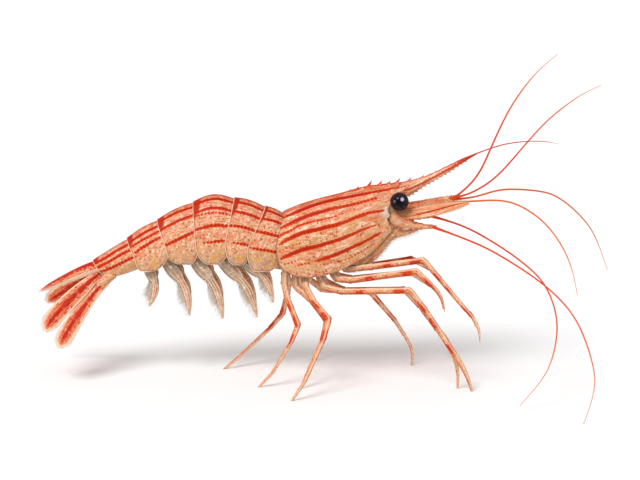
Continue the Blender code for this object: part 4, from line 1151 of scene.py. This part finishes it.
def leg_bands(piece, rows, last_band):
    """Stores how red each part of a leg is, from the first banded part to the last but one.
    last_band is how red the last of these is."""
    joints = lengths_along(rows)
    bands = []
    for start, end in list(zip(joints, joints[1:]))[FIRST_BANDED:-1]:
        much = last_band if end == joints[-2] else 1.0
        bands += [(mix(start, end, share), red * much)
                  for share, red in (BANDS if end - start > LONG_PART else BANDS[:1])]
    band = [max(red * bell(at - middle, BAND_LENGTH) for middle, red in bands)
            for at in np.linspace(0, joints[-1], BAND_SPOTS + 1)]
    tree = point_tree([place(*spot[:3]) for spot in dense(rows, BAND_SPOTS)])
    store(piece.data, "band", [band[tree.find(vertex.co)[1]] for vertex in piece.data.vertices])


# The pale strips are a painted highlight.
LEG_HIGHLIGHT_TURN = 0.5        # where round a leg its pale strips run


def leg_material(name, highlight_strength, spots, grain):
    """Cream chitin with red bands, orange along its edges and pale strips of painted highlight
    between them. The first number is how strong that painted highlight is, spots how large its
    dots, and grain how fine its marks."""
    made, tree, shader = principled(name, 0.36, 0.15)
    along, across = flat_map(tree)
    turn = times(tree, across, math.tau)
    spot = spot_at(tree, times(tree, along, grain), calc(tree, "COSINE", turn), calc(tree, "SINE", turn))
    look = use_group(tree, SURFACE, {
        "Spot": vector(tree, "MULTIPLY", spot, (2.0, 2.0, 2.0)), "Ground": rgb(232, 168, 124),
        "Pale": rgb(250, 212, 178), "Warm": rgb(214, 112, 62), "Cool": rgb(210, 152, 104),
        "Dot": rgb(160, 58, 26), "Mottling": 0.9, "Dots": 0.7, "Dot size": spots,
        "Dot spacing": 0.7, "Relief": 0.4})
    side = calc(tree, "COSINE", calc(tree, "MULTIPLY_ADD", across, 2 * math.tau, LEG_HIGHLIGHT_TURN))
    colour = lay(tree, look["Color"], ramp(tree, side, -0.2, -0.85), 0.65, rgb(196, 92, 46))
    colour = lay(tree, colour, ramp(tree, along, 0.075, 0.03), 0.6, rgb(204, 160, 122))
    ragged = calc(tree, "MULTIPLY_ADD", noise(tree, spot, 1.2, 4.0, 0.6), 2.0, -1.2)
    band = calc(tree, "ADD", attribute(tree, "band"), ragged)
    colour = lay(tree, colour, ramp(tree, band, 0.0, 0.6), 0.6, rgb(222, 112, 62))
    colour = lay(tree, colour, ramp(tree, band, 0.32, 0.6), 0.9, rgb(200, 56, 10))
    # Painted highlight: pale strips along the leg, painted into its colour.
    colour = lay(tree, colour, ramp(tree, side, 0.6, 0.92), highlight_strength, rgb(255, 228, 202))
    finish_look(tree, shader, colour, look["Normal"])
    return made


leg_look = leg_material("leg", 0.5, 0.24, 50.0)


def stand_flat(work):
    """Cuts a toe flat where it meets the floor."""
    if min(vertex.co.z for vertex in work.verts) < ORIGIN.z:
        bmesh.ops.bisect_plane(work, geom=work.verts[:] + work.edges[:] + work.faces[:],
                               plane_co=ORIGIN, plane_no=(0, 0, 1), clear_inner=True)
        bmesh.ops.holes_fill(work, edges=[edge for edge in work.edges if edge.is_boundary])
        bmesh.ops.recalc_face_normals(work, faces=work.faces)


for name, rows in LEGS.items():
    work = bmesh.new()
    limb(work, rows, bow=CLAW_BOWS.get(name, 0.0))
    if name in FINGERS:
        limb(work, FINGERS[name], bow=FINGER_BOW)
    stand_flat(work)
    leg = finish(name, work, leg_look, "leg", name)
    leg_bands(leg, rows, PALE_BAND if name.startswith(PALE_LEGS) else 1.0)

# The bases of the feelers and the stalks of the eyes, in rows like a leg's for the left side.
# After each: the way across it, how many of its first rows are no joints, and how red it is.
ANTENNULE = ((32.0, 2.0, 47.4, 2.4), (36.5, 1.9, 48.2, 2.4), (42.5, 1.8, 49.2, 2.0),
             (47.2, 1.8, 50.1, 1.7), (48.2, 1.8, 50.3, 1.1))
ANTENNA = ((30.8, 2.8, 46.1, 3.6), (32.6, 3.7, 45.8, 5.2), (34.9, 4.8, 45.1, 4.2),
           (37.0, 5.6, 44.3, 2.5), (39.8, 6.1, 44.0, 1.8), (42.4, 6.4, 44.1, 1.2),
           (43.4, 6.5, 44.1, 0.9))
EYESTALK = ((30.6, 1.6, 50.8, 2.6), (31.6, 3.6, 51.0, 3.2), (32.4, 5.4, 51.1, 4.0))
BASES = {
    "antennule_base": (ANTENNULE, (0, 1, 0), 0, 0.5),
    "antenna_base": (ANTENNA, (0, 1, 0), 2, 0.32),
    "eyestalk": (EYESTALK, (0, 0, 1), 0, 0.32),
}
base_look = leg_material("leg_base", 0.1, 0.34, 22.0)
for word, side in SIDES.items():
    for part, (rows, across, plain, red) in BASES.items():
        work = bmesh.new()
        limb(work, mirrored(rows, side), across, plain)
        base = finish(f"{part}_{word}", work, base_look, "leg", f"{part}_{word}")
        paint_even(base, "band", red)


# ---------------------------------------------------------------------------------------------
# Mouthparts. Pale leaf-like limbs folded along the front of the carapace's lower edge, and a
# pointed palp on each side that reaches out under the feelers' bases.

# Rows of (x, y, z, width, thickness) for the leaves of the left side, and for its palp.
MOUTH_LEAVES = (
    ((17.4, 3.6, 31.4, 1.0, 1.2), (21.0, 4.2, 32.2, 2.8, 1.4), (24.4, 4.2, 34.4, 3.0, 1.4),
     (27.2, 4.0, 37.2, 1.0, 0.8)),
    ((21.6, 3.9, 32.8, 1.0, 1.2), (25.2, 4.1, 34.9, 2.9, 1.4), (28.2, 3.9, 38.0, 2.7, 1.3),
     (30.6, 3.7, 41.4, 0.9, 0.7)),
    ((25.6, 3.4, 36.4, 1.0, 1.0), (28.6, 3.7, 38.6, 2.4, 1.2), (31.2, 3.7, 41.2, 2.0, 1.0),
     (33.4, 3.8, 43.4, 0.6, 0.5)),
)
PALP = ((28.0, 2.4, 39.8, 1.4, 1.4), (31.0, 3.0, 41.0, 2.3, 1.4), (34.2, 3.7, 41.7, 1.8, 1.1),
        (37.0, 4.3, 42.4, 0.9, 0.6), (38.6, 4.6, 42.8, 0.2, 0.2))
LEAF_ACROSS, PALP_ACROSS = (-0.6, 0.0, 0.8), (0.0, 0.0, 1.0)
LEAF_THINNING = 0.3         # how much a leaf thins towards its edges, besides its oval


def mouth_material():
    """Cream skin with brown veins along it and orange dots."""
    made, tree, shader = principled("mouth", 0.42, 0.2)
    _, across = flat_map(tree)
    out = calc(tree, "COSINE", times(tree, across, math.tau))
    look = use_group(tree, SURFACE, {
        "Spot": millimetres(tree), "Ground": rgb(224, 172, 128), "Pale": rgb(246, 218, 186),
        "Warm": rgb(222, 116, 66), "Cool": rgb(206, 154, 106), "Dot": rgb(196, 64, 26),
        "Mottling": 0.8, "Dots": 0.6, "Dot size": 0.24, "Dot spacing": 0.8, "Relief": 0.5})
    vein = ramp(tree, calc(tree, "SINE", times(tree, out, 9.0)), 0.2, 0.95)
    finish_look(tree, shader, lay(tree, look["Color"], vein, 0.45, rgb(186, 112, 66)), look["Normal"])
    return made


def leaf_section(_, turn, sizes):
    """A thin lens of that width and thickness."""
    width, thick = sizes
    out = math.cos(turn)
    return width / 2 * out, thick / 2 * math.sin(turn) * (1 - LEAF_THINNING * abs(out))


mouth_look = mouth_material()
for word, side in SIDES.items():
    work = bmesh.new()
    for rows in MOUTH_LEAVES:
        tube(work, track(mirrored(rows, side), 40, LEAF_ACROSS), 24, leaf_section)
    tube(work, track(mirrored(PALP, side), 60, PALP_ACROSS), 24, leaf_section)
    finish(f"mouthparts_{word}", work, mouth_look, "flesh")


# ---------------------------------------------------------------------------------------------
# Antennal scales. A stiff blade of chitin beside each antenna's base, ridged along its middle
# and along its thicker outer edge, thin at its inner one, and set with hair along both.

# Rows of (x, y, z, width, thickness) for the left side.
SCALE = ((33.0, 4.9, 46.6, 1.8, 0.9), (35.2, 5.4, 47.2, 3.4, 0.9), (38.4, 5.9, 47.9, 4.3, 0.9),
         (42.0, 6.2, 48.7, 4.4, 0.8), (45.6, 6.4, 49.5, 3.9, 0.7), (49.2, 6.6, 50.3, 2.7, 0.6),
         (52.3, 6.7, 51.0, 0.9, 0.5))
SCALE_ACROSS = (0.0, 0.85, -0.52)
SCALE_THINNING = 0.4        # how much a scale thins towards its edges, besides its oval
# Ridges along a scale, its outer edge and its middle: place across it, height and spread.
SCALE_RIDGES = ((0.75, 0.35, 0.12), (-0.1, 0.2, 0.1))
LEFT_DROOP = (1.2, 1.1)     # the left scale's tip lies this much further back and lower
SCALE_STREAK = (-0.9, 0.75) # its red streak crosses a scale by this much, from there


def scale_route(side, count):
    """The track of one side's scale, from its root to its tip."""
    back, down = LEFT_DROOP if side > 0 else (0.0, 0.0)
    shares = [k / (len(SCALE) - 1) for k in range(len(SCALE))]
    rows = [(x - back * t, side * y, z - down * t, *sizes)
            for t, (x, y, z, *sizes) in zip(shares, SCALE)]
    return track(rows, count, mirrored([SCALE_ACROSS], side)[0])


def scale_section(share, turn, sizes):
    """A lens with two ridges that fade towards the tip."""
    width, thick = sizes
    out = math.cos(turn)
    ridge = sum(height * bell(out - middle, spread) for middle, height, spread in SCALE_RIDGES)
    flat = math.sin(turn) * (1 - SCALE_THINNING * abs(out))
    return width / 2 * out, (thick / 2 + ridge * (1 - share)) * flat


def scale_material():
    """Cream chitin drawn out in fine lines, with one bold red streak towards the tip."""
    made, tree, shader = principled("scale", 0.36, 0.1)
    along, across = flat_map(tree)
    out = calc(tree, "COSINE", times(tree, across, math.tau))
    look = use_group(tree, SURFACE, {
        "Spot": spot_at(tree, times(tree, along, 5.0), times(tree, out, 3.0)),
        "Ground": rgb(236, 168, 122), "Pale": rgb(252, 222, 190), "Warm": rgb(228, 106, 58),
        "Cool": rgb(214, 158, 100), "Dot": rgb(160, 40, 16), "Mottling": 0.8, "Dots": 0.3,
        "Dot size": 0.2, "Dot spacing": 1.0, "Relief": 0.4})
    wave = times(tree, calc(tree, "MULTIPLY_ADD", look["Uneven"], 0.2, out), 24.0)
    wave = ramp(tree, calc(tree, "SINE", wave), 0.0, 0.8)
    colour = lay(tree, look["Color"], wave, 0.65, rgb(200, 96, 48))
    line = calc(tree, "MULTIPLY_ADD", along, *SCALE_STREAK)
    away = calc(tree, "ABSOLUTE", calc(tree, "SUBTRACT", out, line))
    away = calc(tree, "ADD", away, calc(tree, "MULTIPLY_ADD", look["Uneven"], 0.3, -0.15))
    streak = times(tree, ramp(tree, away, 0.22, 0.08), ramp(tree, along, 0.12, 0.4))
    finish_look(tree, shader, lay(tree, colour, streak, 0.85, LINE_CORE), look["Normal"])
    return made


scale_look = scale_material()
for word, side in SIDES.items():
    work = bmesh.new()
    tube(work, scale_route(side, 100), 40, scale_section)
    finish(f"antenna_scale_{word}", work, scale_look, "leg", f"antenna_scale_{word}")


# ---------------------------------------------------------------------------------------------
# Feelers. Six long whips made of hundreds of tiny rings, stiff here, from red at the root to
# tan at the tip. Each upper and lower pair grows from an antennule, the longest from an antenna.

FEELER_WIDTHS = (0.56, 0.36)
FEELER_TIP = (0.55, 0.7)    # how much of that width a feeler loses at its tip, and from where on
FEELER_ROOT = (0.6, 0.05)   # how much thicker a feeler is at its root, and over what share
# Places (x, y, z) that each feeler runs through.
FEELERS = {
    "antennule_upper_right": (
        (47.4, -1.6, 50.3), (52.4, -3.3, 55.0), (55.6, -4.5, 59.8), (58.6, -6.0, 67.5),
        (62.0, -8.0, 75.9), (65.5, -9.2, 82.2), (69.9, -10.8, 88.3), (75.0, -12.0, 93.1)),
    "antennule_upper_left": (
        (47.4, 1.5, 50.3), (53.0, 2.2, 51.5), (60.6, 4.0, 56.0), (69.9, 8.0, 65.6),
        (74.8, 10.0, 70.5), (80.2, 12.0, 74.6), (85.1, 13.5, 77.7), (90.4, 15.0, 79.9)),
    "antennule_lower_right": (
        (47.4, -2.1, 49.9), (54.5, -3.4, 50.7), (61.8, -6.0, 51.4), (67.2, -9.0, 50.1),
        (72.7, -12.0, 46.5), (77.2, -15.0, 40.9), (80.0, -17.0, 34.6), (81.4, -19.0, 27.9)),
    "antennule_lower_left": (
        (47.4, 2.1, 49.8), (54.3, 3.0, 50.3), (62.7, 5.0, 52.1), (74.4, 10.0, 50.3),
        (80.1, 13.0, 47.3), (86.0, 16.0, 41.8), (90.4, 18.0, 35.7), (94.9, 21.0, 24.6)),
    "antenna_right": (
        (42.2, -6.5, 44.1), (50.4, -11.0, 42.0), (59.0, -18.0, 39.5), (71.4, -30.0, 33.5),
        (79.1, -38.0, 26.0), (83.1, -45.5, 14.7), (82.5, -48.5, 8.3), (80.0, -51.0, 1.8)),
    "antenna_left": (
        (42.2, 6.3, 44.2), (50.6, 4.4, 42.0), (57.7, 1.0, 39.1), (67.1, -4.0, 33.7),
        (73.5, -11.0, 28.3), (75.9, -21.0, 20.1), (72.7, -30.0, 10.1), (64.8, -35.6, 1.8)),
}
FEELER_BEND = 5.0           # its bends are evened out over this length
FEELER_STEPS, FEELER_SIDES = 160, 8
RINGS_PER_MM = 2.2


def feeler_material(name, root, tip):
    """Ringed chitin, from the root's colour to the tip's, with red in the grooves."""
    made, tree, shader = principled(name, 0.38, 0.1)
    along, _ = flat_map(tree)
    ring = calc(tree, "SINE", times(tree, attribute(tree, "length"), math.tau * RINGS_PER_MM))
    patch = times(tree, noise(tree, millimetres(tree), 0.35, 2.0), 0.3)
    colour = tint(tree, ramp(tree, calc(tree, "ADD", along, patch), 0.55, 1.15), root, tip)
    colour = lay(tree, colour, ramp(tree, ring, 0.2, 1.0), 0.3, rgb(176, 40, 14))
    bump = add(tree, "Bump", {"Height": ring, "Strength": 0.4, "Distance": 0.05 * MM})
    finish_look(tree, shader, colour, bump.outputs[0])
    return made


FEELER_LOOKS = {"upper": feeler_material("feeler", rgb(224, 74, 32), rgb(228, 138, 92)),
                "lower": feeler_material("feeler_lower", rgb(226, 104, 54), rgb(226, 150, 98))}


def feeler_section(share, turn, _):
    """A round whip, thicker at its root and finer at its tip."""
    more, root_part = FEELER_ROOT
    less, tip_from = FEELER_TIP
    half = mix(*FEELER_WIDTHS, share) / 2 * (1 + more * bell(share, root_part))
    half *= 1 - less * ease((share - tip_from) / (1 - tip_from))
    return half * math.cos(turn), half * math.sin(turn)


for name, rows in FEELERS.items():
    work = bmesh.new()
    route = track([smooth(rows, k / 40) for k in range(41)], FEELER_STEPS, (0, 1, 0), FEELER_BEND)
    tube(work, route, FEELER_SIDES, feeler_section)
    feeler_look = FEELER_LOOKS["lower" if "lower" in name else "upper"]
    feeler = finish(name, work, feeler_look, "feeler", f"{name}_inner_length", f"{name}_outer_length")
    gone = lengths_along(route.places)
    tree = point_tree([place(*spot) for spot in route.places])
    store(feeler.data, "length", [gone[tree.find(vertex.co)[1]] for vertex in feeler.data.vertices])


# ---------------------------------------------------------------------------------------------
# Swimming legs. Five pairs of soft, half-clear paddles under the abdomen: a broad base and two
# thin branches that taper and bow, streaked along with pale veins.

# Each pair's root and tip in side view, and how broad it is.
PLEOPODS = (((-9.2, 32.6), (-1.5, 22.2), 0.85), ((-15.6, 33.0), (-6.0, 17.9), 1.0),
            ((-23.6, 33.3), (-15.6, 17.2), 1.0), ((-31.4, 32.3), (-25.0, 17.9), 0.95),
            ((-37.0, 31.2), (-36.3, 20.2), 0.8))
# Rows of (share from root to tip, width, thickness).
OUTER_BRANCH = ((-0.14, 2.0, 1.4), (0.0, 3.4, 1.9), (0.13, 4.2, 2.0), (0.25, 3.9, 1.7),
                (0.35, 2.4, 1.2), (0.41, 2.3, 1.1), (0.55, 2.5, 0.9), (0.72, 2.0, 0.7),
                (0.87, 1.3, 0.5), (1.0, 0.2, 0.2))
INNER_BRANCH = ((0.28, 1.0, 0.8), (0.42, 1.9, 0.8), (0.6, 1.7, 0.6), (0.76, 1.0, 0.4), (0.86, 0.2, 0.2))
INNER_BACK = (0.6, 1.4)     # the inner branch's root and tip lie this far behind the outer's
INNER_REACH, INNER_INSET = 0.95, 0.3
PADDLE_INSET = 2.0          # a paddle's root lies this far inside the plate's lower edge
SPLAY = (1.2, -0.8)         # how far the outer and inner tips stand out from their roots
BRANCH_BOW, BRANCH_ACROSS = 1.7, (1.0, 0.0, 0.3)
BRANCH_CURL = 0.25          # how far the tips turn back
LEFT_PADDLE_SHIFT = -0.7    # the left tips lie this much further back
LAST_PADDLE_HALF = 4.6      # half width of the body at the last pair


def paddle_material():
    """Half-clear skin, pale along its veins, with patchy grey painted shade at its base, a red vein
    and tan edges.
    """
    made, tree, shader = principled("paddle", 0.38, 0.3)
    along, across = flat_map(tree)
    out = calc(tree, "COSINE", times(tree, across, math.tau))
    look = use_group(tree, SURFACE, {
        "Spot": millimetres(tree), "Ground": rgb(212, 172, 140), "Pale": rgb(232, 208, 184),
        "Warm": rgb(196, 138, 98), "Cool": rgb(172, 146, 118), "Dot": rgb(196, 66, 36),
        "Mottling": 0.7, "Dots": 0.5, "Dot size": 0.22, "Dot spacing": 0.9, "Relief": 0.5})
    vein = ramp(tree, calc(tree, "SINE", calc(tree, "MULTIPLY_ADD", out, 10.0, 0.6)), 0.3, 0.95)
    colour = lay(tree, look["Color"], vein, 0.5, rgb(250, 236, 218))
    # Painted shade: grey patches towards the base, under the abdomen.
    cloud = noise(tree, millimetres(tree), 0.7, 3.0)
    shade = times(tree, ramp(tree, along, 0.48, 0.2), ramp(tree, cloud, 0.36, 0.54))
    colour = lay(tree, colour, shade, 0.65, rgb(140, 128, 114))
    lead = calc(tree, "ABSOLUTE", calc(tree, "SUBTRACT", out, 0.42))
    lead = times(tree, ramp(tree, lead, 0.2, 0.06), ramp(tree, along, 0.4, 0.5))
    lead = times(tree, lead, ramp(tree, look["Uneven"], 0.46, 0.56))
    colour = lay(tree, colour, lead, 0.75, rgb(206, 74, 44))
    edge = ramp(tree, calc(tree, "ABSOLUTE", out), 0.78, 0.95)
    finish_look(tree, shader, lay(tree, colour, edge, 0.75, rgb(164, 106, 62)), look["Normal"])
    return made


paddle_look = paddle_material()


def branch_rows(rows, root, tip, y, out, size):
    """A branch's line, bowed forward between its root and its tip."""
    root, tip = Vector(root), Vector(tip)
    bow = Vector((root.y - tip.y, tip.x - root.x)).normalized() * BRANCH_BOW
    line = []
    for t, width, thick in rows:
        bowed = math.sin(math.pi * t) - BRANCH_CURL * ease((t - 0.5) / 0.5)
        x, z = root + (tip - root) * t + bow * bowed
        line.append((x, y + out * t, z, width * size, thick))
    return line


PADDLE_ROUTES = []
for number, (root, tip, size) in enumerate(PLEOPODS, start=1):
    inner_tip = [mix(a, b, INNER_REACH) for a, b in zip(root, tip)]
    half_width = HINGES[number].half_width if number < len(PLEOPODS) else LAST_PADDLE_HALF
    base = half_width * (1 - TUCK) - PADDLE_INSET
    for word, side in SIDES.items():
        shift = LEFT_PADDLE_SHIFT if side > 0 else 0.0
        outer = branch_rows(OUTER_BRANCH, root, (tip[0] + shift, tip[1]),
                            side * base, side * SPLAY[0], size)
        inner = branch_rows(INNER_BRANCH, (root[0] - INNER_BACK[0], root[1]),
                            (inner_tip[0] - INNER_BACK[1] + shift, inner_tip[1]),
                            side * (base - INNER_INSET), side * SPLAY[1], size)
        work = bmesh.new()
        PADDLE_ROUTES += [(len(PADDLE_ROUTES) + k, side, track(rows, 200, BRANCH_ACROSS))
                          for k, rows in enumerate((outer, inner))]
        tube(work, track(outer, 70, BRANCH_ACROSS), 32, leaf_section)
        tube(work, track(inner, 50, BRANCH_ACROSS), 24, leaf_section)
        finish(f"pleopod_{number}_{word}", work, paddle_look, "flesh", f"pleopod_{number}_{word}")


# ---------------------------------------------------------------------------------------------
# Eyes. Glossy black balls of many facets, one on the end of each stalk. A dim violet ring shows
# on the side of each, with two pale painted highlights where its facets would catch the light.

# The last of these is the colour of the painted highlights.
EYE_BLACK, EYE_VIOLET, EYE_HIGHLIGHT_COLOUR = rgb(4, 2, 4), rgb(58, 36, 48), rgb(214, 220, 240)
# The ring: how high its middle lies, where it sets in and is full, and where it has gone and
# begins to go, from that middle.
EYE_RING = (0.35, (0.9, 1.5), (2.5, 2.0))
# Painted highlights: (forward, up, reach, strength).
EYE_PAINTED_HIGHLIGHTS = ((0.7, 1.15, 0.7, 0.8), (-1.4, 0.6, 0.45, 0.2))


def eye_material(name, centre):
    """Near-black and glossy, with a broken ring of dim facets and two painted highlights."""
    made, tree, shader = principled(name, 0.06)
    shader.inputs["Specular IOR Level"].default_value = 0.13
    spot = vector(tree, "SUBTRACT", millimetres(tree), tuple(centre / MM))
    forward, _, up = add(tree, "SeparateXYZ", {0: spot}).outputs
    middle, grows, goes = EYE_RING
    away = distance(tree, forward, calc(tree, "SUBTRACT", up, middle))
    ring = times(tree, ramp(tree, away, *grows), ramp(tree, away, *goes))
    facets = ramp(tree, noise(tree, millimetres(tree), 1.6, 3.0), 0.4, 0.62)
    colour = lay(tree, EYE_BLACK, ring, facets, EYE_VIOLET)
    # Painted highlights: pale spots painted into the colour, where the facets would catch the light.
    for highlight_forward, highlight_up, reach, much in EYE_PAINTED_HIGHLIGHTS:
        near = distance(tree, calc(tree, "SUBTRACT", forward, highlight_forward),
                        calc(tree, "SUBTRACT", up, highlight_up))
        colour = lay(tree, colour, ramp(tree, near, reach, 0.2 * reach), much, EYE_HIGHLIGHT_COLOUR)
    tree.links.new(colour, shader.inputs["Base Color"])
    return made


for word, side in SIDES.items():
    centre = place(EYE_CENTRE[0], side * EYE_CENTRE[1], EYE_CENTRE[2])
    work = bmesh.new()
    bmesh.ops.create_uvsphere(work, u_segments=48, v_segments=32, radius=EYE_RADIUS * MM)
    bmesh.ops.translate(work, verts=work.verts, vec=centre)
    finish(f"eye_{word}", work, eye_material(f"eye_{word}", centre), "eye", f"eye_{word}")


# ---------------------------------------------------------------------------------------------
# Hair. Fringes of fine, stiff bristles along the thin edges of the tail's blades, the swimming
# legs, the antennal scales and the mouthparts. Each bristle is a tapering three-sided spine that
# grows from the skin.

HAIR_WIDTH, HAIR_TIP = 0.07, 0.25       # width at the root, and the tip's share of it
HAIR_PATCH = 0.0015                     # half size of one bristle's place on the flat map
HAIR_SEAT = 0.97                        # a bristle's root lies this share out from the middle
# How much bristles differ: in lean along and out of the blade, in length and in spacing.
LEAN_SPREAD, SIDE_SPREAD, LENGTH_SPREAD, STEP_SPREAD = 0.12, 0.15, (0.75, 1.1), (0.7, 1.3)
SHORT_END, END_GROWTH = 0.45, 4.0       # share of the length at a fringe's ends, and its growth
END_LEAN, END_LEAN_FROM = 0.9, 0.85     # bristles turn along the blade round its rounded end

# A fringe, from share start to end along an edge: the step between bristles and their length in
# millimetres, how far they lean towards the tip, and how they droop.
Fringe = namedtuple("Fringe", "start end step length lean droop", defaults=((0, 0, 0),))
FAN_FRINGE = Fringe(0.62, 0.995, 0.08, 1.1, 0.55)
PADDLE_REAR = Fringe(0.36, 0.99, 0.09, 1.8, 0.5, (0, 0, -0.15))
PADDLE_FRONT = Fringe(0.7, 0.99, 0.2, 0.8, 0.75)
SCALE_INNER = Fringe(0.1, 0.99, 0.1, 1.1, 0.6)
SCALE_OUTER = Fringe(0.35, 0.99, 0.11, 1.1, 0.6)
MOUTH_FRINGE = Fringe(0.1, 0.98, 0.1, 1.0, 0.45, (0.1, 0, -0.1))

# One bristle: its root, the way it grows, its droop and length, and its place on the flat map.
Strand = namedtuple("Strand", "root way droop length spot")
chance = random.Random(5)


def edge_strands(route, side, fringe, map_row, rounding=None):
    """Bristles along one edge of a blade. side is 1 or -1 across it, and a rounding is the
    share over which the blade's end is rounded."""
    found = []
    count = len(route.places) - 1
    gone = lengths_along(route.places)
    at = fringe.start * gone[-1]
    while at < fringe.end * gone[-1]:
        k = min(int(np.searchsorted(gone, at)), count)
        share = k / count
        half = route.sizes[k][0] / 2 * (round_end(share, rounding) if rounding else 1.0)
        across, along = route.acrosses[k] * side, route.alongs[k]
        lean = fringe.lean + chance.uniform(-LEAN_SPREAD, LEAN_SPREAD)
        lean += END_LEAN * ease((share - END_LEAN_FROM) / (1 - END_LEAN_FROM)) if rounding else 0.0
        out = across.cross(along) * chance.uniform(-SIDE_SPREAD, SIDE_SPREAD)
        way = (across * (1 - min(lean, 1.0)) + along * lean + out).normalized()
        fade = min(1.0, SHORT_END + END_GROWTH * (share - fringe.start),
                   SHORT_END + END_GROWTH * (fringe.end - share))
        found.append(Strand(route.places[k] + across * half * HAIR_SEAT, way, Vector(fringe.droop),
                            fringe.length * fade * chance.uniform(*LENGTH_SPREAD),
                            (share * 0.9 + 0.05, map_row)))
        at += fringe.step * chance.uniform(*STEP_SPREAD)
    return found


def coat(name, strands, colour):
    """One piece of joined bristles, each at its root's place on the flat map. One bristle is
    made, doubled until there are enough of them, and each of these is then bent into place."""
    work = bmesh.new()
    number = work.verts.layers.int.new("strand")
    flat = work.loops.layers.uv.new("OFBake")
    bmesh.ops.create_cone(work, cap_ends=True, segments=3, radius1=1.0, radius2=HAIR_TIP, depth=1.0)
    bmesh.ops.bisect_plane(work, geom=work.verts[:] + work.edges[:] + work.faces[:],
                           plane_co=(0, 0, 0), plane_no=(0, 0, 1))
    bmesh.ops.recalc_face_normals(work, faces=work.faces)
    made = 1
    while made < len(strands):
        copied = bmesh.ops.duplicate(work, geom=work.verts[:] + work.edges[:] + work.faces[:])["geom"]
        for part in copied:
            if isinstance(part, bmesh.types.BMVert):
                part[number] += made
        made *= 2
    extra = [vertex for vertex in work.verts if vertex[number] >= len(strands)]
    bmesh.ops.delete(work, geom=extra, context="VERTS")
    frames = []
    for strand in strands:
        side = strand.way.cross(Vector((0.3, 1.0, 0.2))).normalized()
        frames.append((side, strand.way.cross(side)))
    for face in work.faces:
        for loop in face.loops:
            u, v = strands[loop.vert[number]].spot
            loop[flat].uv = (u + loop.vert.co.x * HAIR_PATCH, v + loop.vert.co.y * HAIR_PATCH)
    for vertex in work.verts:
        strand = strands[vertex[number]]
        side, up = frames[vertex[number]]
        rise = vertex.co.z + 0.5
        spot = strand.root + strand.way * strand.length * rise
        spot += strand.droop * strand.length * rise ** 2
        spot += (side * vertex.co.x + up * vertex.co.y) * HAIR_WIDTH / 2
        vertex.co = place(*spot)
    look, _, shader = principled(name, 0.6)
    shader.inputs["Base Color"].default_value = colour
    finish(name, work, look, "flesh")


FAN_BLADES = [(TELSON, TELSON_ACROSS)] + [pair[word] for pair in (ENDOPOD, EXOPOD) for word in SIDES]
strands = []
for row, (rows, across) in enumerate(FAN_BLADES):
    route = track(rows, 300, across)
    for side in (1, -1):
        map_row = (row + 0.5 + 0.2 * side) / len(FAN_BLADES)
        strands += edge_strands(route, side, FAN_FRINGE, map_row, FAN_ROUND)
coat("hair_tail", strands, rgb(222, 210, 200))

strands = []
for number, side, route in PADDLE_ROUTES:
    map_row = (number + 0.5) / len(PADDLE_ROUTES)
    strands += edge_strands(route, -1, PADDLE_REAR, map_row)
    strands += edge_strands(route, 1, PADDLE_FRONT, map_row)
coat("hair_paddles", strands, rgb(236, 228, 218))

strands = []
for row, side in enumerate(SIDES.values()):
    route = scale_route(side, 300)
    strands += edge_strands(route, 1, SCALE_OUTER, (row + 0.25) / 2)
    strands += edge_strands(route, -1, SCALE_INNER, (row + 0.75) / 2)
coat("hair_scales", strands, rgb(206, 164, 124))

strands = []
mouth_edges = [(leaf, LEAF_ACROSS) for leaf in MOUTH_LEAVES] + [(PALP, PALP_ACROSS)]
for side_row, side in enumerate(SIDES.values()):
    for row, (rows, across) in enumerate(mouth_edges):
        map_row = (len(mouth_edges) * side_row + row + 0.5) / (2 * len(mouth_edges))
        route = track(mirrored(rows, side), 200, across)
        strands += edge_strands(route, -1, MOUTH_FRINGE, map_row)
coat("hair_mouth", strands, rgb(206, 168, 128))


# ---------------------------------------------------------------------------------------------
# Stage. A plain floor of white paper under an even sky and a wide soft lamp, which stands above
# the tail on the animal's right. The camera looks at that side, a little from above.

LOOK_AT, CAMERA_AT = place(11.2, 0.0, 38.7), place(11.2, -582.2, 183.9)
LENS, FILM_WIDTH = 120.5, 36.0
LAMP_WAY, LAMP_SPREAD, LAMP_POWER = (0.4, 0.5, -0.85), math.radians(28), 2.0
SKY_COLOUR, SKY_POWER = (1.0, 1.0, 1.0, 1.0), 0.57
PAPER_COLOUR, PAPER_HALF = (0.97, 0.97, 0.97, 1.0), 2.5

sun = bpy.data.lights.new("softbox", "SUN")
sun.energy, sun.angle = LAMP_POWER, LAMP_SPREAD
lamp = bpy.data.objects.new("softbox", sun)
bpy.context.scene.collection.objects.link(lamp)
lamp.rotation_euler = Vector(LAMP_WAY).to_track_quat("-Z", "Y").to_euler()

world = bpy.data.worlds.new("studio")
bpy.context.scene.world = world
world.use_nodes = True
sky = world.node_tree.nodes["Background"]
sky.inputs["Color"].default_value = SKY_COLOUR
sky.inputs["Strength"].default_value = SKY_POWER

work = bmesh.new()
bmesh.ops.create_grid(work, x_segments=1, y_segments=1, size=PAPER_HALF)
mesh = bpy.data.meshes.new("floor")
work.to_mesh(mesh)
work.free()
floor = bpy.data.objects.new("floor", mesh)
bpy.context.scene.collection.objects.link(floor)
paper, _, shader = principled("paper", 0.9)
shader.inputs["Base Color"].default_value = PAPER_COLOUR
mesh.materials.append(paper)

camera = bpy.data.objects.new("camera", bpy.data.cameras.new("camera"))
bpy.context.scene.collection.objects.link(camera)
camera.data.lens, camera.data.sensor_width = LENS, FILM_WIDTH
camera.data.clip_start, camera.data.clip_end = 0.01, 20.0
camera.location = CAMERA_AT
camera.rotation_euler = (LOOK_AT - camera.location).to_track_quat("-Z", "Y").to_euler()
bpy.context.scene.camera = camera
bpy.context.scene.view_settings.view_transform = "Standard"
